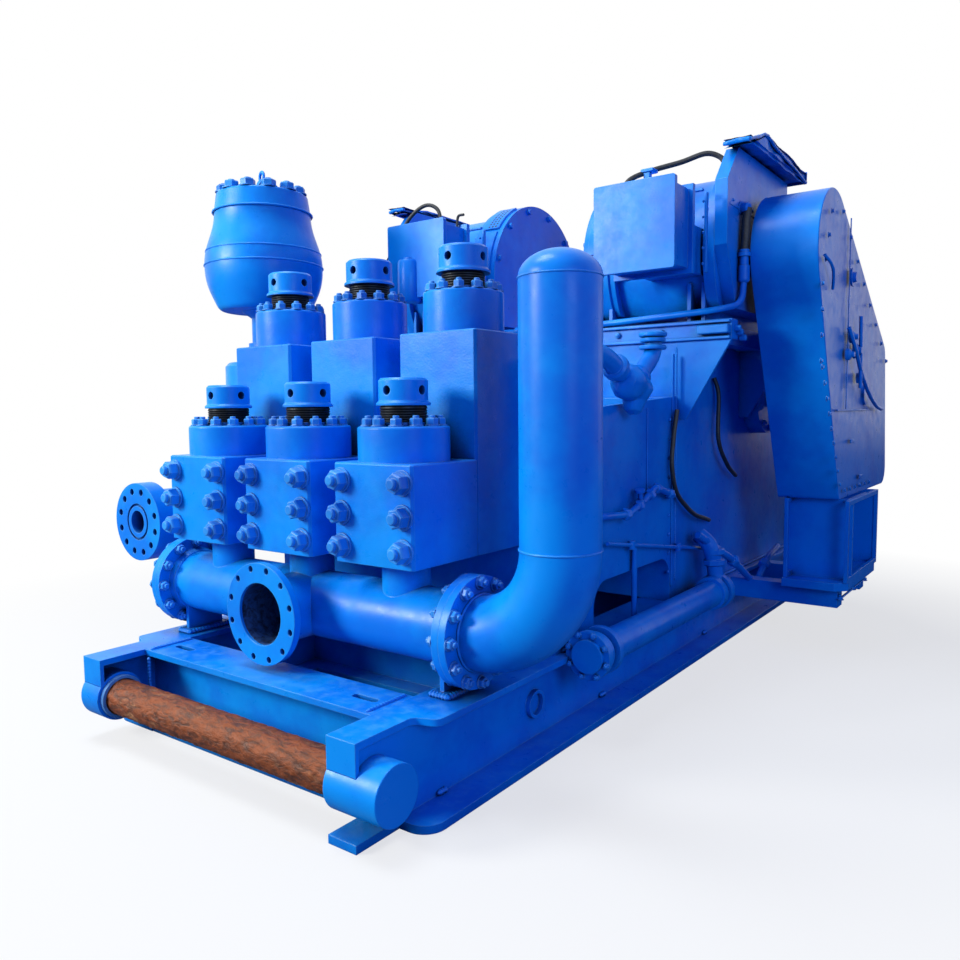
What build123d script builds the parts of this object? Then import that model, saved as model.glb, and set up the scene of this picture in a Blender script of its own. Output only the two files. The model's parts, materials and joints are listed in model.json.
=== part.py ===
from build123d import *
import os
from math import cos, radians, sin

# Triplex mud pump on an oilfield skid, driven by two belt drives from motors on its roof.
# Millimetres. X runs to the right, Y to the back and Z up. The pump is laid out with Y = 0
# at the front ends of the skid beams and Z = 0 on the floor, midway between the beams.
# Each finished piece is then moved so that the origin is the middle of the footprint.

os.makedirs("parts", exist_ok=True)

# ---- Skid -------------------------------------------------------------------
skid_length = 4700.0
beam_height = 358.0
beam_spread = 1565.0          # from web centre to web centre
beam_web = 17.0
top_flange_width = 219.0
top_flange_thickness = 25.0
base_flange_width = 286.0
base_flange_thickness = 30.0
base_flange_setback = 200.0   # the wide base flange starts behind the narrow nose
nose_length = 244.0
nose_plate = 16.0
nose_flange_width = 130.0
nose_jog = 84.0               # length of the smooth widening behind the nose
toe_width = 125.0             # tongue under the right nose
lift_pipe_radius = 58.0
lift_pipe_bore = 44.0
lift_pipe_reach = 22.0        # how far the lifting pipes stand out of the web
lift_pipe_level = 174.0
lift_pipe_inset = 1032.0      # from the beam's ends to the lifting pipes
crossmember_front = 204.0     # front edge of the front crossmember
crossmember_width = 220.0
crossmember_web = 14.0
slot_length = 120.0
slot_width = 32.0
slot_inset = 130.0            # from the crossmember's end to the slot's centre

# ---- Pull roller ------------------------------------------------------------
roller_radius = 78.0
roller_depth = 83.0           # from the nose's front face back to the roller's axis
roller_level = 187.0
roller_play = 4.0             # end play of the roller between the noses
sleeve_radius = 101.0
sleeve_overhang = 97.0        # how far the right sleeve stands out of the nose
spindle_radius = 40.0

# ---- Fluid end --------------------------------------------------------------
cylinder_spacing = 522.0
module_width = 387.0
module_chamfer = 10.0
suction_front = 387.0
module_split = 761.0          # where the suction modules meet the discharge modules
discharge_back = 1127.0
module_bottom = 820.0
suction_top = 1191.0
discharge_top = 1685.0
suction_boss_radius = 172.5
suction_boss_height = 130.0
suction_bore_depth = 568.0    # Y of the suction valve axis
discharge_boss_radius = 164.0
discharge_boss_height = 166.0
discharge_bore_depth = 944.0  # Y of the discharge valve axis
cover_ring_radius = 112.0
cover_ring_height = 14.0
cover_neck_radius = 84.0
cover_neck_height = 76.0
suction_plug_radius = 92.5
suction_plug_height = 101.0
discharge_plug_radius = 101.0
discharge_plug_height = 107.0
plug_rim = 9.0
bar_hole_radius = 17.0
bar_hole_depth = 45.0
bar_hole_rise = 0.55          # as a share of the plug's height
bar_hole_count = 4

# ---- Suction manifold and stabilizer ----------------------------------------
pipe_radius = 136.5           # 10-inch pipe
pipe_wall = 12.7
flange_radius = 203.2         # 10-inch class 150 flange
flange_thickness = 30.2
flange_hub_radius = 152.4
flange_hub_length = 24.0
flange_bolt_circle = 362.0
flange_hole_radius = 12.7
flange_bolt_count = 12
manifold_level = 589.0
manifold_reach = 836.0        # from the middle to each end face
inlet_face = 290.0            # Y of the inlet flange's face
branch_radius = 92.0          # necks between the manifold and the suction modules
elbow_radius = 328.0
elbow_stub = 34.0
standpipe_top = 1888.0
dome_height = 92.0
saddle_width = 70.0
saddle_plate = 20.0

# ---- Discharge side ---------------------------------------------------------
cross_offset = 1136.0         # X distance of the discharge cross from the middle
cross_level = 850.0
cross_face = 471.0            # Y of the outlet flange's face
cross_flange_radius = 190.0
cross_flange_thickness = 82.0
cross_bolt_circle = 300.0
cross_hole_radius = 16.0
cross_hole_depth = 62.0        # stud holes, blind
cross_bore_radius = 55.0
cross_bore_depth = 420.0
cross_body_radius = 150.0
cross_groove_radius = 84.0
cross_groove_width = 12.0
cross_stub_depth = 944.0      # Y of the stub into the left discharge module
cross_stub_level = 955.0
cross_stub_radius = 105.0
cross_stub_flange_radius = 132.0
cross_stub_flange_thickness = 55.0
column_radius = 240.0
column_top_radius = 227.0
column_bottom = 690.0
column_bevel = 20.0
column_shoulder = 1652.0
column_cap_radius = 165.0
column_top = 1725.0
dampener_depth = 1296.0       # Y of the dampener's axis
neck_radius = 78.0
neck_collar_radius = 98.0
neck_collar_height = 36.0
neck_flare_radius = 130.0
dampener_bottom = 1935.0
dampener_foot_radius = 215.0  # flat underside
dampener_side_radius = 266.0  # where the lower cone starts
dampener_corner = 42.0        # height of the rounded lower corner
dampener_waist = 2178.0       # level of the widest place
dampener_radius = 318.0
dampener_shoulder = 2465.0
dampener_lid_radius = 259.0
dampener_lid_taper = 8.0      # degrees
dampener_lid_height = 101.0
dampener_lid_corner = 12.0
lift_boss_radius = 95.0
lift_boss_height = 34.0
lift_eye_radius = 36.0
lift_eye_thickness = 24.0

# ---- Power end --------------------------------------------------------------
frame_overhang = 57.5         # of the frame's sides beyond the webs of the beams
frame_wall = 45.0
frame_face = 50.0             # thickness of the plate behind the modules
crankcase_front = 2360.0
crankcase_back = 4620.0
crankcase_top = 1725.0
chamber_floor = 700.0
side_wall_front_top = 1365.0
side_wall_back_top = 1440.0
tunnel_front = 1460.0
tunnel_back = 2300.0
tunnel_top = 600.0
tunnel_corner = 120.0
liner_level = 1005.0
liner_radius = 140.0
liner_nut_radius = 168.0
liner_nut_length = 90.0
liner_length = 430.0
rod_radius = 55.0
cover_arch_radius = 700.0     # rounded hood over the bull gear
pinion_depth = 3640.0         # Y of the pinion shaft
pinion_level = 1450.0
bearing_radius = 235.0
bearing_length = 95.0
shaft_radius = 70.0
hatch_width = 900.0
hatch_height = 560.0
hatch_thickness = 26.0
hatch_level = 960.0

# ---- Motor base and motors --------------------------------------------------
base_half_width = 1131.0
base_beam_height = 101.0
base_beam_width = 90.0
base_back = 3370.0
rail_width = 110.0
gusset_thickness = 20.0
gusset_drop = 406.0
motor_depth = 2830.0          # Y of the motor shafts
motor_level = 2170.0
motor_radius = 500.0
motor_inner = 300.0
motor_bell_length = 190.0     # end bell at the middle of the pump
motor_flange_length = 60.0    # flange at the air duct
motor_body_radius = 455.0
motor_foot_height = 60.0
motor_foot_reach = 450.0      # half length of the foot plates
motor_foot_thickness = 20.0
motor_foot_rise = 195.0       # from the base up along the motor's round side
motor_foot_spacing = 76.0     # between the two foot plates on one rail
duct_inner = 1046.0
duct_outer = 1111.0
duct_bottom = 2190.0
duct_shoulder = 2510.0
duct_lean = 150.0
hood_clearance = 195.0        # from the top of the belt guards up to the hoods
hood_overhang = 90.0
hood_inset = 17.0             # from the duct's inner side to the hood's inner edge
hood_rise_right = 100.0
hood_rise_left = 45.0         # trodden flat
hood_crest = 260.0            # from the hood's front edge to its highest place
hood_tail = 0.7               # height at the back, as a share of the rise
box_width = 415.0
box_standoff = 470.0          # from the box's lid to the front of the motor
box_bottom = 2022.0
box_top = 2440.0
box_lid = 26.0
box_step = 24.0
box_depth = 240.0
box_neck_width = 290.0
box_neck_height = 230.0
seat_gap = 0.3                # between a curved seat and what it carries
box_right_edge = 1035.0
box_pitch = 1345.0            # from one terminal box to the other

# ---- Belt guards ------------------------------------------------------------
guard_inner = 1170.0
guard_width = 330.0
small_guard_radius = 325.0
guard_bottom = 862.0
guard_front_foot = 3060.0
guard_back = 4390.0
guard_back_shoulder = 1800.0
guard_corner = 110.0
port_radius = 62.0
port_thickness = 14.0
stand_front = 3040.0
stand_depth = 800.0
stand_width = 345.0
stand_gap = 46.0              # from the guard's inner side to the stand
stand_base = 46.0             # height of the base frame
stand_base_lip = 30.0         # how far the base reaches in front
stand_base_corner = 60.0
stand_plate = 20.0
stand_rim = 26.0              # edge left round the windows in the side plates
stand_recess = 100.0          # of the front panel behind the side plates
outrigger_height = 110.0
outrigger_width = 110.0

# ---- Small piping -----------------------------------------------------------
drain_radius = 70.0
drain_front = 1130.0
drain_back = 2600.0
drain_clearance = 145.0       # from the frame's side to the pipe's axis
drain_level = 375.0
drain_cap_radius = 84.0
drain_cap_length = 60.0
drain_bracket_width = 60.0

# ---- Worked out from the sizes above ----------------------------------------
beam_x = beam_spread / 2
frame_half_width = beam_x + frame_overhang
duct_top = motor_level + small_guard_radius + hood_clearance
web_outer = beam_x + beam_web / 2
web_inner = beam_x - beam_web / 2
flange_inner = beam_x - top_flange_width / 2
flange_outer = beam_x + top_flange_width / 2
base_inner = beam_x - base_flange_width / 2
base_outer = beam_x + base_flange_width / 2
nose_outer = flange_inner + nose_flange_width
drain_offset = frame_half_width + drain_clearance
web_bottom = base_flange_thickness
web_top = beam_height - top_flange_thickness
cylinder_places = [-cylinder_spacing, 0, cylinder_spacing]
footprint_front = roller_depth - sleeve_radius
origin_depth = (footprint_front + skid_length) / 2
cylinder_names = ["left", "middle", "right"]


def at_depth(y):
    """Upright plane across the pump at depth y, drawn as seen from the front."""
    return Plane.XZ.offset(-y)


def at_side(x):
    """Upright plane along the pump at x, with local x to the back and local y up."""
    return Plane.YZ.offset(x)


def at_level(z):
    """Level plane at height z."""
    return Plane.XY.offset(z)


def save(piece, name):
    """Moves a finished piece to the footprint's origin, labels it and writes its STEP file."""
    placed = piece.part.moved(Location((0, -origin_depth, 0)))
    placed.label = name
    export_step(placed, f"parts/{name}.step")


# =============================================================================
# Skid
# =============================================================================


def build_skid_beam(with_toe):
    """One skid beam of the right-hand side, with its narrow nose."""
    with BuildPart() as beam:
        # top flange: narrow along the nose, then a smooth widening to full width
        with BuildSketch(at_level(web_top)):
            with BuildLine():
                Polyline(
                    (nose_outer, nose_length),
                    (nose_outer, 0),
                    (flange_inner, 0),
                    (flange_inner, skid_length),
                    (flange_outer, skid_length),
                    (flange_outer, nose_length + nose_jog),
                )
                Spline(
                    (flange_outer, nose_length + nose_jog),
                    (nose_outer, nose_length),
                    tangents=[(0, -1), (0, -1)],
                )
            make_face()
        extrude(amount=top_flange_thickness)
        # base flange with a rounded front corner
        with BuildSketch(at_level(0)):
            with BuildLine():
                Polyline(
                    (base_outer, base_flange_setback + nose_jog),
                    (base_outer, skid_length),
                    (base_inner, skid_length),
                    (base_inner, base_flange_setback),
                    (base_outer - nose_jog, base_flange_setback),
                )
                RadiusArc(
                    (base_outer - nose_jog, base_flange_setback),
                    (base_outer, base_flange_setback + nose_jog),
                    -nose_jog,
                )
            make_face()
        extrude(amount=base_flange_thickness)
        # web, cut short under the nose where the roller's sleeve sits
        with BuildSketch(at_side(web_inner)):
            with BuildLine():
                Polyline(
                    (0, web_top),
                    (skid_length, web_top),
                    (skid_length, web_bottom),
                    (base_flange_setback, web_bottom),
                    (base_flange_setback, roller_level - sleeve_radius),
                    (0, roller_level),
                    (0, web_top),
                )
            make_face()
        extrude(amount=beam_web)
        # the nose's front plate
        with BuildSketch(at_depth(0)):
            with Locations((flange_inner, roller_level)):
                Rectangle(
                    nose_flange_width,
                    web_top - roller_level,
                    align=(Align.MIN, Align.MIN),
                )
        extrude(amount=-nose_plate)
        if with_toe:
            with BuildSketch(at_level(0)):
                with Locations((flange_inner, 0)):
                    Rectangle(toe_width, base_flange_setback, align=(Align.MIN, Align.MIN))
            extrude(amount=base_flange_thickness)
        # the sleeve's seat, bored through the nose
        with BuildSketch(at_side(base_inner)):
            with Locations((roller_depth, roller_level)):
                Circle(sleeve_radius)
        extrude(amount=base_flange_width, mode=Mode.SUBTRACT)
        # lifting pipes on the web, open to the outside
        for depth in (lift_pipe_inset, skid_length - lift_pipe_inset):
            with BuildSketch(at_side(web_outer)):
                with Locations((depth, lift_pipe_level)):
                    Circle(lift_pipe_radius)
                    Circle(lift_pipe_bore, mode=Mode.SUBTRACT)
            extrude(amount=lift_pipe_reach)
    return beam


skid_beam_right = build_skid_beam(with_toe=True)
save(skid_beam_right, "skid_beam_right")

left_beam_as_right = build_skid_beam(with_toe=False)
with BuildPart() as skid_beam_left:
    mirror(left_beam_as_right.part, about=Plane.YZ)
save(skid_beam_left, "skid_beam_left")


def build_crossmember(front, slotted):
    """I-section member between the skid beams, flush with their top."""
    middle = front + crossmember_width / 2
    with BuildPart() as member:
        with BuildSketch(at_level(web_top)):
            with Locations((0, middle)):
                Rectangle(2 * flange_inner, crossmember_width)
            if slotted:
                slot_x = flange_inner - slot_inset
                with Locations((-slot_x, middle), (slot_x, middle)):
                    SlotOverall(slot_length, slot_width, mode=Mode.SUBTRACT)
        extrude(amount=top_flange_thickness)
        with BuildSketch(at_level(0)):
            with Locations((0, middle)):
                Rectangle(2 * base_inner, crossmember_width)
        extrude(amount=base_flange_thickness)
        with BuildSketch(at_level(web_bottom)):
            with Locations((0, middle)):
                Rectangle(2 * web_inner, crossmember_web)
        extrude(amount=web_top - web_bottom)
    return member


skid_front_crossmember = build_crossmember(crossmember_front, slotted=True)
save(skid_front_crossmember, "skid_front_crossmember")

rear_member_fronts = [1160.0, 2600.0, skid_length - crossmember_width]
with BuildPart() as skid_rear_crossmembers:
    for member_front in rear_member_fronts:
        add(build_crossmember(member_front, slotted=False).part)
save(skid_rear_crossmembers, "skid_rear_crossmembers")

# =============================================================================
# Pull roller between the noses
# =============================================================================

sleeve_inner = flange_inner
sleeve_tip = nose_outer + sleeve_overhang
roller_half = sleeve_inner - roller_play

with BuildPart() as roller_sleeve_right:
    with BuildSketch(at_side(sleeve_inner)):
        with Locations((roller_depth, roller_level)):
            Circle(sleeve_radius)
    extrude(amount=sleeve_tip - sleeve_inner)
    with BuildSketch(at_side(sleeve_inner)):
        with Locations((roller_depth, roller_level)):
            Circle(spindle_radius)
    extrude(amount=(sleeve_tip - sleeve_inner) / 2, mode=Mode.SUBTRACT)
    fillet(roller_sleeve_right.edges().sort_by(Axis.X)[-1], 4)
save(roller_sleeve_right, "roller_sleeve_right")

with BuildPart() as roller_sleeve_left:
    with BuildSketch(at_side(-nose_outer)):
        with Locations((roller_depth, roller_level)):
            Circle(sleeve_radius)
    extrude(amount=nose_outer - sleeve_inner)
    with BuildSketch(at_side(-sleeve_inner)):
        with Locations((roller_depth, roller_level)):
            Circle(spindle_radius)
    extrude(amount=-(nose_outer - sleeve_inner) / 2, mode=Mode.SUBTRACT)
save(roller_sleeve_left, "roller_sleeve_left")

spindle_half = sleeve_inner + (nose_outer - sleeve_inner) / 2
with BuildPart() as pull_roller:
    with BuildSketch(at_side(-roller_half)):
        with Locations((roller_depth, roller_level)):
            Circle(roller_radius)
    extrude(amount=2 * roller_half)
    with BuildSketch(at_side(-spindle_half)):
        with Locations((roller_depth, roller_level)):
            Circle(spindle_radius - 0.3)
    extrude(amount=2 * spindle_half)
save(pull_roller, "pull_roller")

# =============================================================================
# Fluid end
# =============================================================================


def build_module(x, front, back, top, boss_y, boss_radius, boss_height):
    """Forged block with a round boss on top, bored for its valve cover."""
    with BuildPart() as module:
        with BuildSketch(at_level(module_bottom)):
            with Locations((x, (front + back) / 2)):
                Rectangle(module_width, back - front)
        extrude(amount=top - module_bottom)
        chamfer(module.edges().filter_by(Axis.Z).group_by(Axis.Y)[0], module_chamfer)
        chamfer(module.faces().sort_by(Axis.Z)[-1].edges(), module_chamfer / 2)
        with BuildSketch(at_level(top)):
            with Locations((x, boss_y)):
                Circle(boss_radius)
        extrude(amount=boss_height)
        fillet(module.faces().sort_by(Axis.Z)[-1].edges(), module_chamfer)
    return module


def build_valve_cover(x, y, seat, plug_radius, plug_height):
    """Threaded ring, dark neck and the plug that a bar turns."""
    neck_top = seat + cover_neck_height
    plug_top = neck_top + plug_height
    with BuildPart() as cover:
        with BuildSketch(Plane((x, y, 0), x_dir=(1, 0, 0), z_dir=(0, -1, 0))):
            with BuildLine():
                Polyline(
                    (0, seat),
                    (cover_ring_radius, seat),
                    (cover_ring_radius, seat + cover_ring_height),
                    (cover_neck_radius, seat + cover_ring_height),
                    (cover_neck_radius, neck_top),
                    (plug_radius + plug_rim, neck_top),
                    (plug_radius + plug_rim, neck_top + plug_rim),
                    (plug_radius, neck_top + 2 * plug_rim),
                    (plug_radius, plug_top - plug_rim),
                    (plug_radius - plug_rim, plug_top),
                    (0, plug_top),
                    close=True,
                )
            make_face()
        revolve(axis=Axis((x, y, 0), (0, 0, 1)))
        for index in range(bar_hole_count):
            angle = radians(360 * index / bar_hole_count)
            outward = (cos(angle), sin(angle), 0)
            mouth = (
                x + plug_radius * cos(angle),
                y + plug_radius * sin(angle),
                neck_top + bar_hole_rise * plug_height,
            )
            with BuildSketch(Plane(mouth, z_dir=outward)):
                Circle(bar_hole_radius)
            extrude(amount=-bar_hole_depth, mode=Mode.SUBTRACT)
    return cover


suction_seat = suction_top + suction_boss_height
discharge_seat = discharge_top + discharge_boss_height

for x, side in zip(cylinder_places, cylinder_names):
    suction_module = build_module(
        x, suction_front, module_split, suction_top,
        suction_bore_depth, suction_boss_radius, suction_boss_height,
    )
    save(suction_module, f"suction_module_{side}")
    discharge_module = build_module(
        x, module_split, discharge_back, discharge_top,
        discharge_bore_depth, discharge_boss_radius, discharge_boss_height,
    )
    save(discharge_module, f"discharge_module_{side}")
    suction_cover = build_valve_cover(
        x, suction_bore_depth, suction_seat, suction_plug_radius, suction_plug_height,
    )
    save(suction_cover, f"suction_valve_cover_{side}")
    discharge_cover = build_valve_cover(
        x, discharge_bore_depth, discharge_seat, discharge_plug_radius, discharge_plug_height,
    )
    save(discharge_cover, f"discharge_valve_cover_{side}")

# =============================================================================
# Suction manifold: a tee with bolted flanges, hollow all the way
# =============================================================================

pipe_bore = pipe_radius - pipe_wall
manifold_axis_y = suction_bore_depth

with BuildPart() as suction_manifold:
    # run pipe along X with a flange and a hub at each end
    with BuildSketch(at_side(-manifold_reach)):
        with Locations((manifold_axis_y, manifold_level)):
            Circle(pipe_radius)
    extrude(amount=2 * manifold_reach)
    for end in (-1, 1):
        with BuildSketch(at_side(end * manifold_reach)):
            with Locations((manifold_axis_y, manifold_level)):
                Circle(flange_radius)
        extrude(amount=-end * flange_thickness)
        with BuildSketch(at_side(end * (manifold_reach - flange_thickness))) as hub_base:
            with Locations((manifold_axis_y, manifold_level)):
                Circle(flange_hub_radius)
        extrude(amount=-end * flange_hub_length, taper=20)
    # inlet neck towards the front
    with BuildSketch(at_depth(inlet_face)):
        with Locations((0, manifold_level)):
            Circle(pipe_radius)
    extrude(amount=-(manifold_axis_y - inlet_face))
    with BuildSketch(at_depth(inlet_face)):
        with Locations((0, manifold_level)):
            Circle(flange_radius)
    extrude(amount=-flange_thickness)
    # short necks up to the suction modules
    for x in cylinder_places:
        with BuildSketch(at_level(manifold_level)):
            with Locations((x, manifold_axis_y)):
                Circle(branch_radius)
        extrude(amount=module_bottom - manifold_level)
    # bores
    with BuildSketch(at_side(-manifold_reach)):
        with Locations((manifold_axis_y, manifold_level)):
            Circle(pipe_bore)
    extrude(amount=2 * manifold_reach, mode=Mode.SUBTRACT)
    with BuildSketch(at_depth(inlet_face)):
        with Locations((0, manifold_level)):
            Circle(pipe_bore)
    extrude(amount=-(manifold_axis_y - inlet_face), mode=Mode.SUBTRACT)
    # bolt holes of the inlet flange, straddling its centre lines
    with BuildSketch(at_depth(inlet_face)):
        with Locations((0, manifold_level)):
            with PolarLocations(
                flange_bolt_circle / 2, flange_bolt_count, start_angle=180 / flange_bolt_count
            ):
                Circle(flange_hole_radius)
    extrude(amount=-flange_thickness, mode=Mode.SUBTRACT)
save(suction_manifold, "suction_manifold")

with BuildPart() as suction_blind_flange:
    with BuildSketch(at_side(-manifold_reach)):
        with Locations((manifold_axis_y, manifold_level)):
            Circle(flange_radius)
    extrude(amount=-flange_thickness)
    chamfer(suction_blind_flange.edges().sort_by(Axis.X)[0], 3)
save(suction_blind_flange, "suction_blind_flange")

# saddles that carry the manifold's flanges on the skid
with BuildPart() as manifold_saddles:
    for end in (-1, 1):
        saddle_x = end * (manifold_reach - flange_thickness - flange_hub_length - saddle_plate)
        with BuildSketch(at_side(saddle_x)):
            with Locations((manifold_axis_y, beam_height)):
                Rectangle(
                    2.6 * saddle_width,
                    manifold_level - beam_height,
                    align=(Align.CENTER, Align.MIN),
                )
            with Locations((manifold_axis_y, manifold_level)):
                Circle(pipe_radius, mode=Mode.SUBTRACT)
        extrude(amount=saddle_plate / 2, both=True)
        with BuildSketch(at_level(beam_height)):
            with Locations((saddle_x, manifold_axis_y)):
                Rectangle(saddle_width, 3 * saddle_width)
        extrude(amount=saddle_plate)
save(manifold_saddles, "manifold_saddles")

# =============================================================================
# Suction stabilizer: elbow and standpipe with a domed cap
# =============================================================================

elbow_start = manifold_reach + elbow_stub
standpipe_x = elbow_start + elbow_radius
elbow_end_level = manifold_level + elbow_radius

with BuildPart() as suction_stabilizer:
    with BuildLine() as stabilizer_path:
        Line(
            (manifold_reach, manifold_axis_y, manifold_level),
            (elbow_start, manifold_axis_y, manifold_level),
        )
        TangentArc(
            (elbow_start, manifold_axis_y, manifold_level),
            (standpipe_x, manifold_axis_y, elbow_end_level),
            tangent=(1, 0, 0),
        )
    with BuildSketch(at_side(manifold_reach)):
        with Locations((manifold_axis_y, manifold_level)):
            Circle(pipe_radius)
    sweep(path=stabilizer_path.wires()[0])
    with BuildSketch(at_level(elbow_end_level)):
        with Locations((standpipe_x, manifold_axis_y)):
            Circle(pipe_radius)
    extrude(amount=standpipe_top - dome_height - elbow_end_level)
    dome_base = standpipe_top - dome_height
    dome_plane = Plane((standpipe_x, manifold_axis_y, dome_base), x_dir=(1, 0, 0), z_dir=(0, -1, 0))
    with BuildSketch(dome_plane):
        with BuildLine():
            Line((0, 0), (pipe_radius, 0))
            EllipticalCenterArc((0, 0), pipe_radius, dome_height, start_angle=0, arc_size=90)
            Line((0, dome_height), (0, 0))
        make_face()
    revolve(axis=Axis((standpipe_x, manifold_axis_y, 0), (0, 0, 1)))
    with BuildSketch(at_side(manifold_reach)):
        with Locations((manifold_axis_y, manifold_level)):
            Circle(flange_radius)
    extrude(amount=flange_thickness)
save(suction_stabilizer, "suction_stabilizer")


# =============================================================================
# Discharge cross, with the dampener on its column
# =============================================================================

cross_x = -cross_offset

with BuildPart() as discharge_cross:
    # upright column with a stepped cap
    column_plane = Plane((cross_x, dampener_depth, 0), x_dir=(1, 0, 0), z_dir=(0, -1, 0))
    with BuildSketch(column_plane):
        with BuildLine():
            Polyline(
                (0, column_bottom),
                (column_radius - column_bevel, column_bottom),
                (column_radius, column_bottom + column_bevel),
                (column_top_radius, column_shoulder - column_bevel),
                (column_top_radius - column_bevel, column_shoulder),
                (column_cap_radius, column_shoulder),
                (column_cap_radius, column_top - column_bevel / 2),
                (column_cap_radius - column_bevel / 2, column_top),
                (0, column_top),
                close=True,
            )
        make_face()
    revolve(axis=Axis((cross_x, dampener_depth, 0), (0, 0, 1)))
    # round body towards the front, with the outlet flange
    with BuildSketch(at_depth(cross_face)):
        with Locations((cross_x, cross_level)):
            Circle(cross_flange_radius)
    extrude(amount=-cross_flange_thickness)
    with BuildSketch(at_depth(cross_face)):
        with Locations((cross_x, cross_level)):
            Circle(cross_body_radius)
    extrude(amount=-(dampener_depth - cross_face))
    # stub into the side of the left discharge module
    module_side = -(cylinder_spacing + module_width / 2)
    with BuildSketch(at_side(module_side)):
        with Locations((cross_stub_depth, cross_stub_level)):
            Circle(cross_stub_radius)
    extrude(amount=-(cross_offset + module_side))
    with BuildSketch(at_side(module_side)):
        with Locations((cross_stub_depth, cross_stub_level)):
            Circle(cross_stub_flange_radius)
    extrude(amount=-cross_stub_flange_thickness)
    # outlet bore, ring groove and bolt holes
    with BuildSketch(at_depth(cross_face)):
        with Locations((cross_x, cross_level)):
            Circle(cross_bore_radius)
    extrude(amount=-cross_bore_depth, mode=Mode.SUBTRACT)
    with BuildSketch(at_depth(cross_face)):
        with Locations((cross_x, cross_level)):
            Circle(cross_groove_radius + cross_groove_width / 2)
            Circle(cross_groove_radius - cross_groove_width / 2, mode=Mode.SUBTRACT)
    extrude(amount=-cross_groove_width, mode=Mode.SUBTRACT)
    with BuildSketch(at_depth(cross_face)):
        with Locations((cross_x, cross_level)):
            with PolarLocations(
                cross_bolt_circle / 2, flange_bolt_count, start_angle=180 / flange_bolt_count
            ):
                Circle(cross_hole_radius)
    extrude(amount=-cross_hole_depth, mode=Mode.SUBTRACT)
save(discharge_cross, "discharge_cross")

dampener_axis = Axis((cross_x, dampener_depth, 0), (0, 0, 1))

with BuildPart() as dampener_neck:
    with BuildSketch(column_plane):
        with BuildLine():
            Polyline(
                (0, column_top),
                (neck_collar_radius, column_top),
                (neck_collar_radius, column_top + neck_collar_height),
                (neck_radius, column_top + neck_collar_height),
                (neck_radius, dampener_bottom - neck_collar_height),
                (neck_flare_radius, dampener_bottom),
                (0, dampener_bottom),
                close=True,
            )
        make_face()
    revolve(axis=dampener_axis)
save(dampener_neck, "dampener_neck")

with BuildPart() as dampener_body:
    with BuildSketch(column_plane):
        with BuildLine():
            Line((0, dampener_shoulder), (0, dampener_bottom))
            Line((0, dampener_bottom), (dampener_foot_radius, dampener_bottom))
            Spline(
                (dampener_foot_radius, dampener_bottom),
                (dampener_side_radius, dampener_bottom + dampener_corner),
                (dampener_radius, dampener_waist),
                tangents=[(1, 0), (0, 1)],
            )
            Spline(
                (dampener_radius, dampener_waist),
                (dampener_lid_radius, dampener_shoulder),
                tangents=[(0, 1), (0, 1)],
            )
            Line((dampener_lid_radius, dampener_shoulder), (0, dampener_shoulder))
        make_face()
    revolve(axis=dampener_axis)
save(dampener_body, "dampener_body")

lid_top = dampener_shoulder + dampener_lid_height
with BuildPart() as dampener_lid:
    with BuildSketch(at_level(dampener_shoulder)):
        with Locations((cross_x, dampener_depth)):
            Circle(dampener_lid_radius)
    extrude(amount=dampener_lid_height, taper=dampener_lid_taper)
    fillet(dampener_lid.edges().sort_by(Axis.Z)[-1], dampener_lid_corner)
    with BuildSketch(at_level(lid_top)):
        with Locations((cross_x, dampener_depth)):
            Circle(lift_boss_radius)
    extrude(amount=lift_boss_height, taper=35)
    eye_level = lid_top + lift_boss_height + lift_eye_radius / 2
    with BuildSketch(at_depth(dampener_depth)):
        with Locations((cross_x, eye_level)):
            Circle(lift_eye_radius)
    extrude(amount=lift_eye_thickness / 2, both=True)
    with BuildSketch(at_depth(dampener_depth)):
        with Locations((cross_x, eye_level)):
            Circle(lift_eye_radius / 2)
    extrude(amount=lift_eye_thickness, both=True, mode=Mode.SUBTRACT)
save(dampener_lid, "dampener_lid")

# =============================================================================
# Power end
# =============================================================================

frame_width = 2 * frame_half_width
chamber_front = discharge_back + frame_face
chamber_back = crankcase_front - frame_face
face_plate_top = discharge_top - 2 * frame_face

with BuildPart() as crosshead_frame:
    with BuildSketch(at_side(-frame_half_width)):
        with BuildLine():
            Polyline(
                (discharge_back, beam_height),
                (crankcase_front, beam_height),
                (crankcase_front, side_wall_back_top),
                (chamber_front, side_wall_front_top),
                (chamber_front, face_plate_top),
                (discharge_back, face_plate_top),
                close=True,
            )
        make_face()
    extrude(amount=frame_width)
    # open chamber over the liners and rods
    with BuildSketch(at_level(chamber_floor)):
        with Locations((0, chamber_front)):
            Rectangle(
                frame_width - 2 * frame_wall,
                chamber_back - chamber_front,
                align=(Align.CENTER, Align.MIN),
            )
    extrude(amount=side_wall_back_top - chamber_floor, mode=Mode.SUBTRACT)
    # arched tunnel under the chamber
    with BuildSketch(at_side(-frame_half_width)):
        with Locations(((tunnel_front + tunnel_back) / 2, tunnel_top)):
            RectangleRounded(
                tunnel_back - tunnel_front,
                2 * (tunnel_top - beam_height),
                tunnel_corner,
                align=(Align.CENTER, Align.MAX),
            )
    extrude(amount=frame_width, mode=Mode.SUBTRACT)
save(crosshead_frame, "crosshead_frame")

with BuildPart() as cylinder_liners:
    for x in cylinder_places:
        with BuildSketch(at_depth(chamber_front)):
            with Locations((x, liner_level)):
                Circle(liner_nut_radius)
        extrude(amount=-liner_nut_length)
        with BuildSketch(at_depth(chamber_front)):
            with Locations((x, liner_level)):
                Circle(liner_radius)
        extrude(amount=-liner_length)
        with BuildSketch(at_depth(chamber_front)):
            with Locations((x, liner_level)):
                Circle(rod_radius)
        extrude(amount=-(chamber_back - chamber_front))
save(cylinder_liners, "cylinder_liners")

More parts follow.
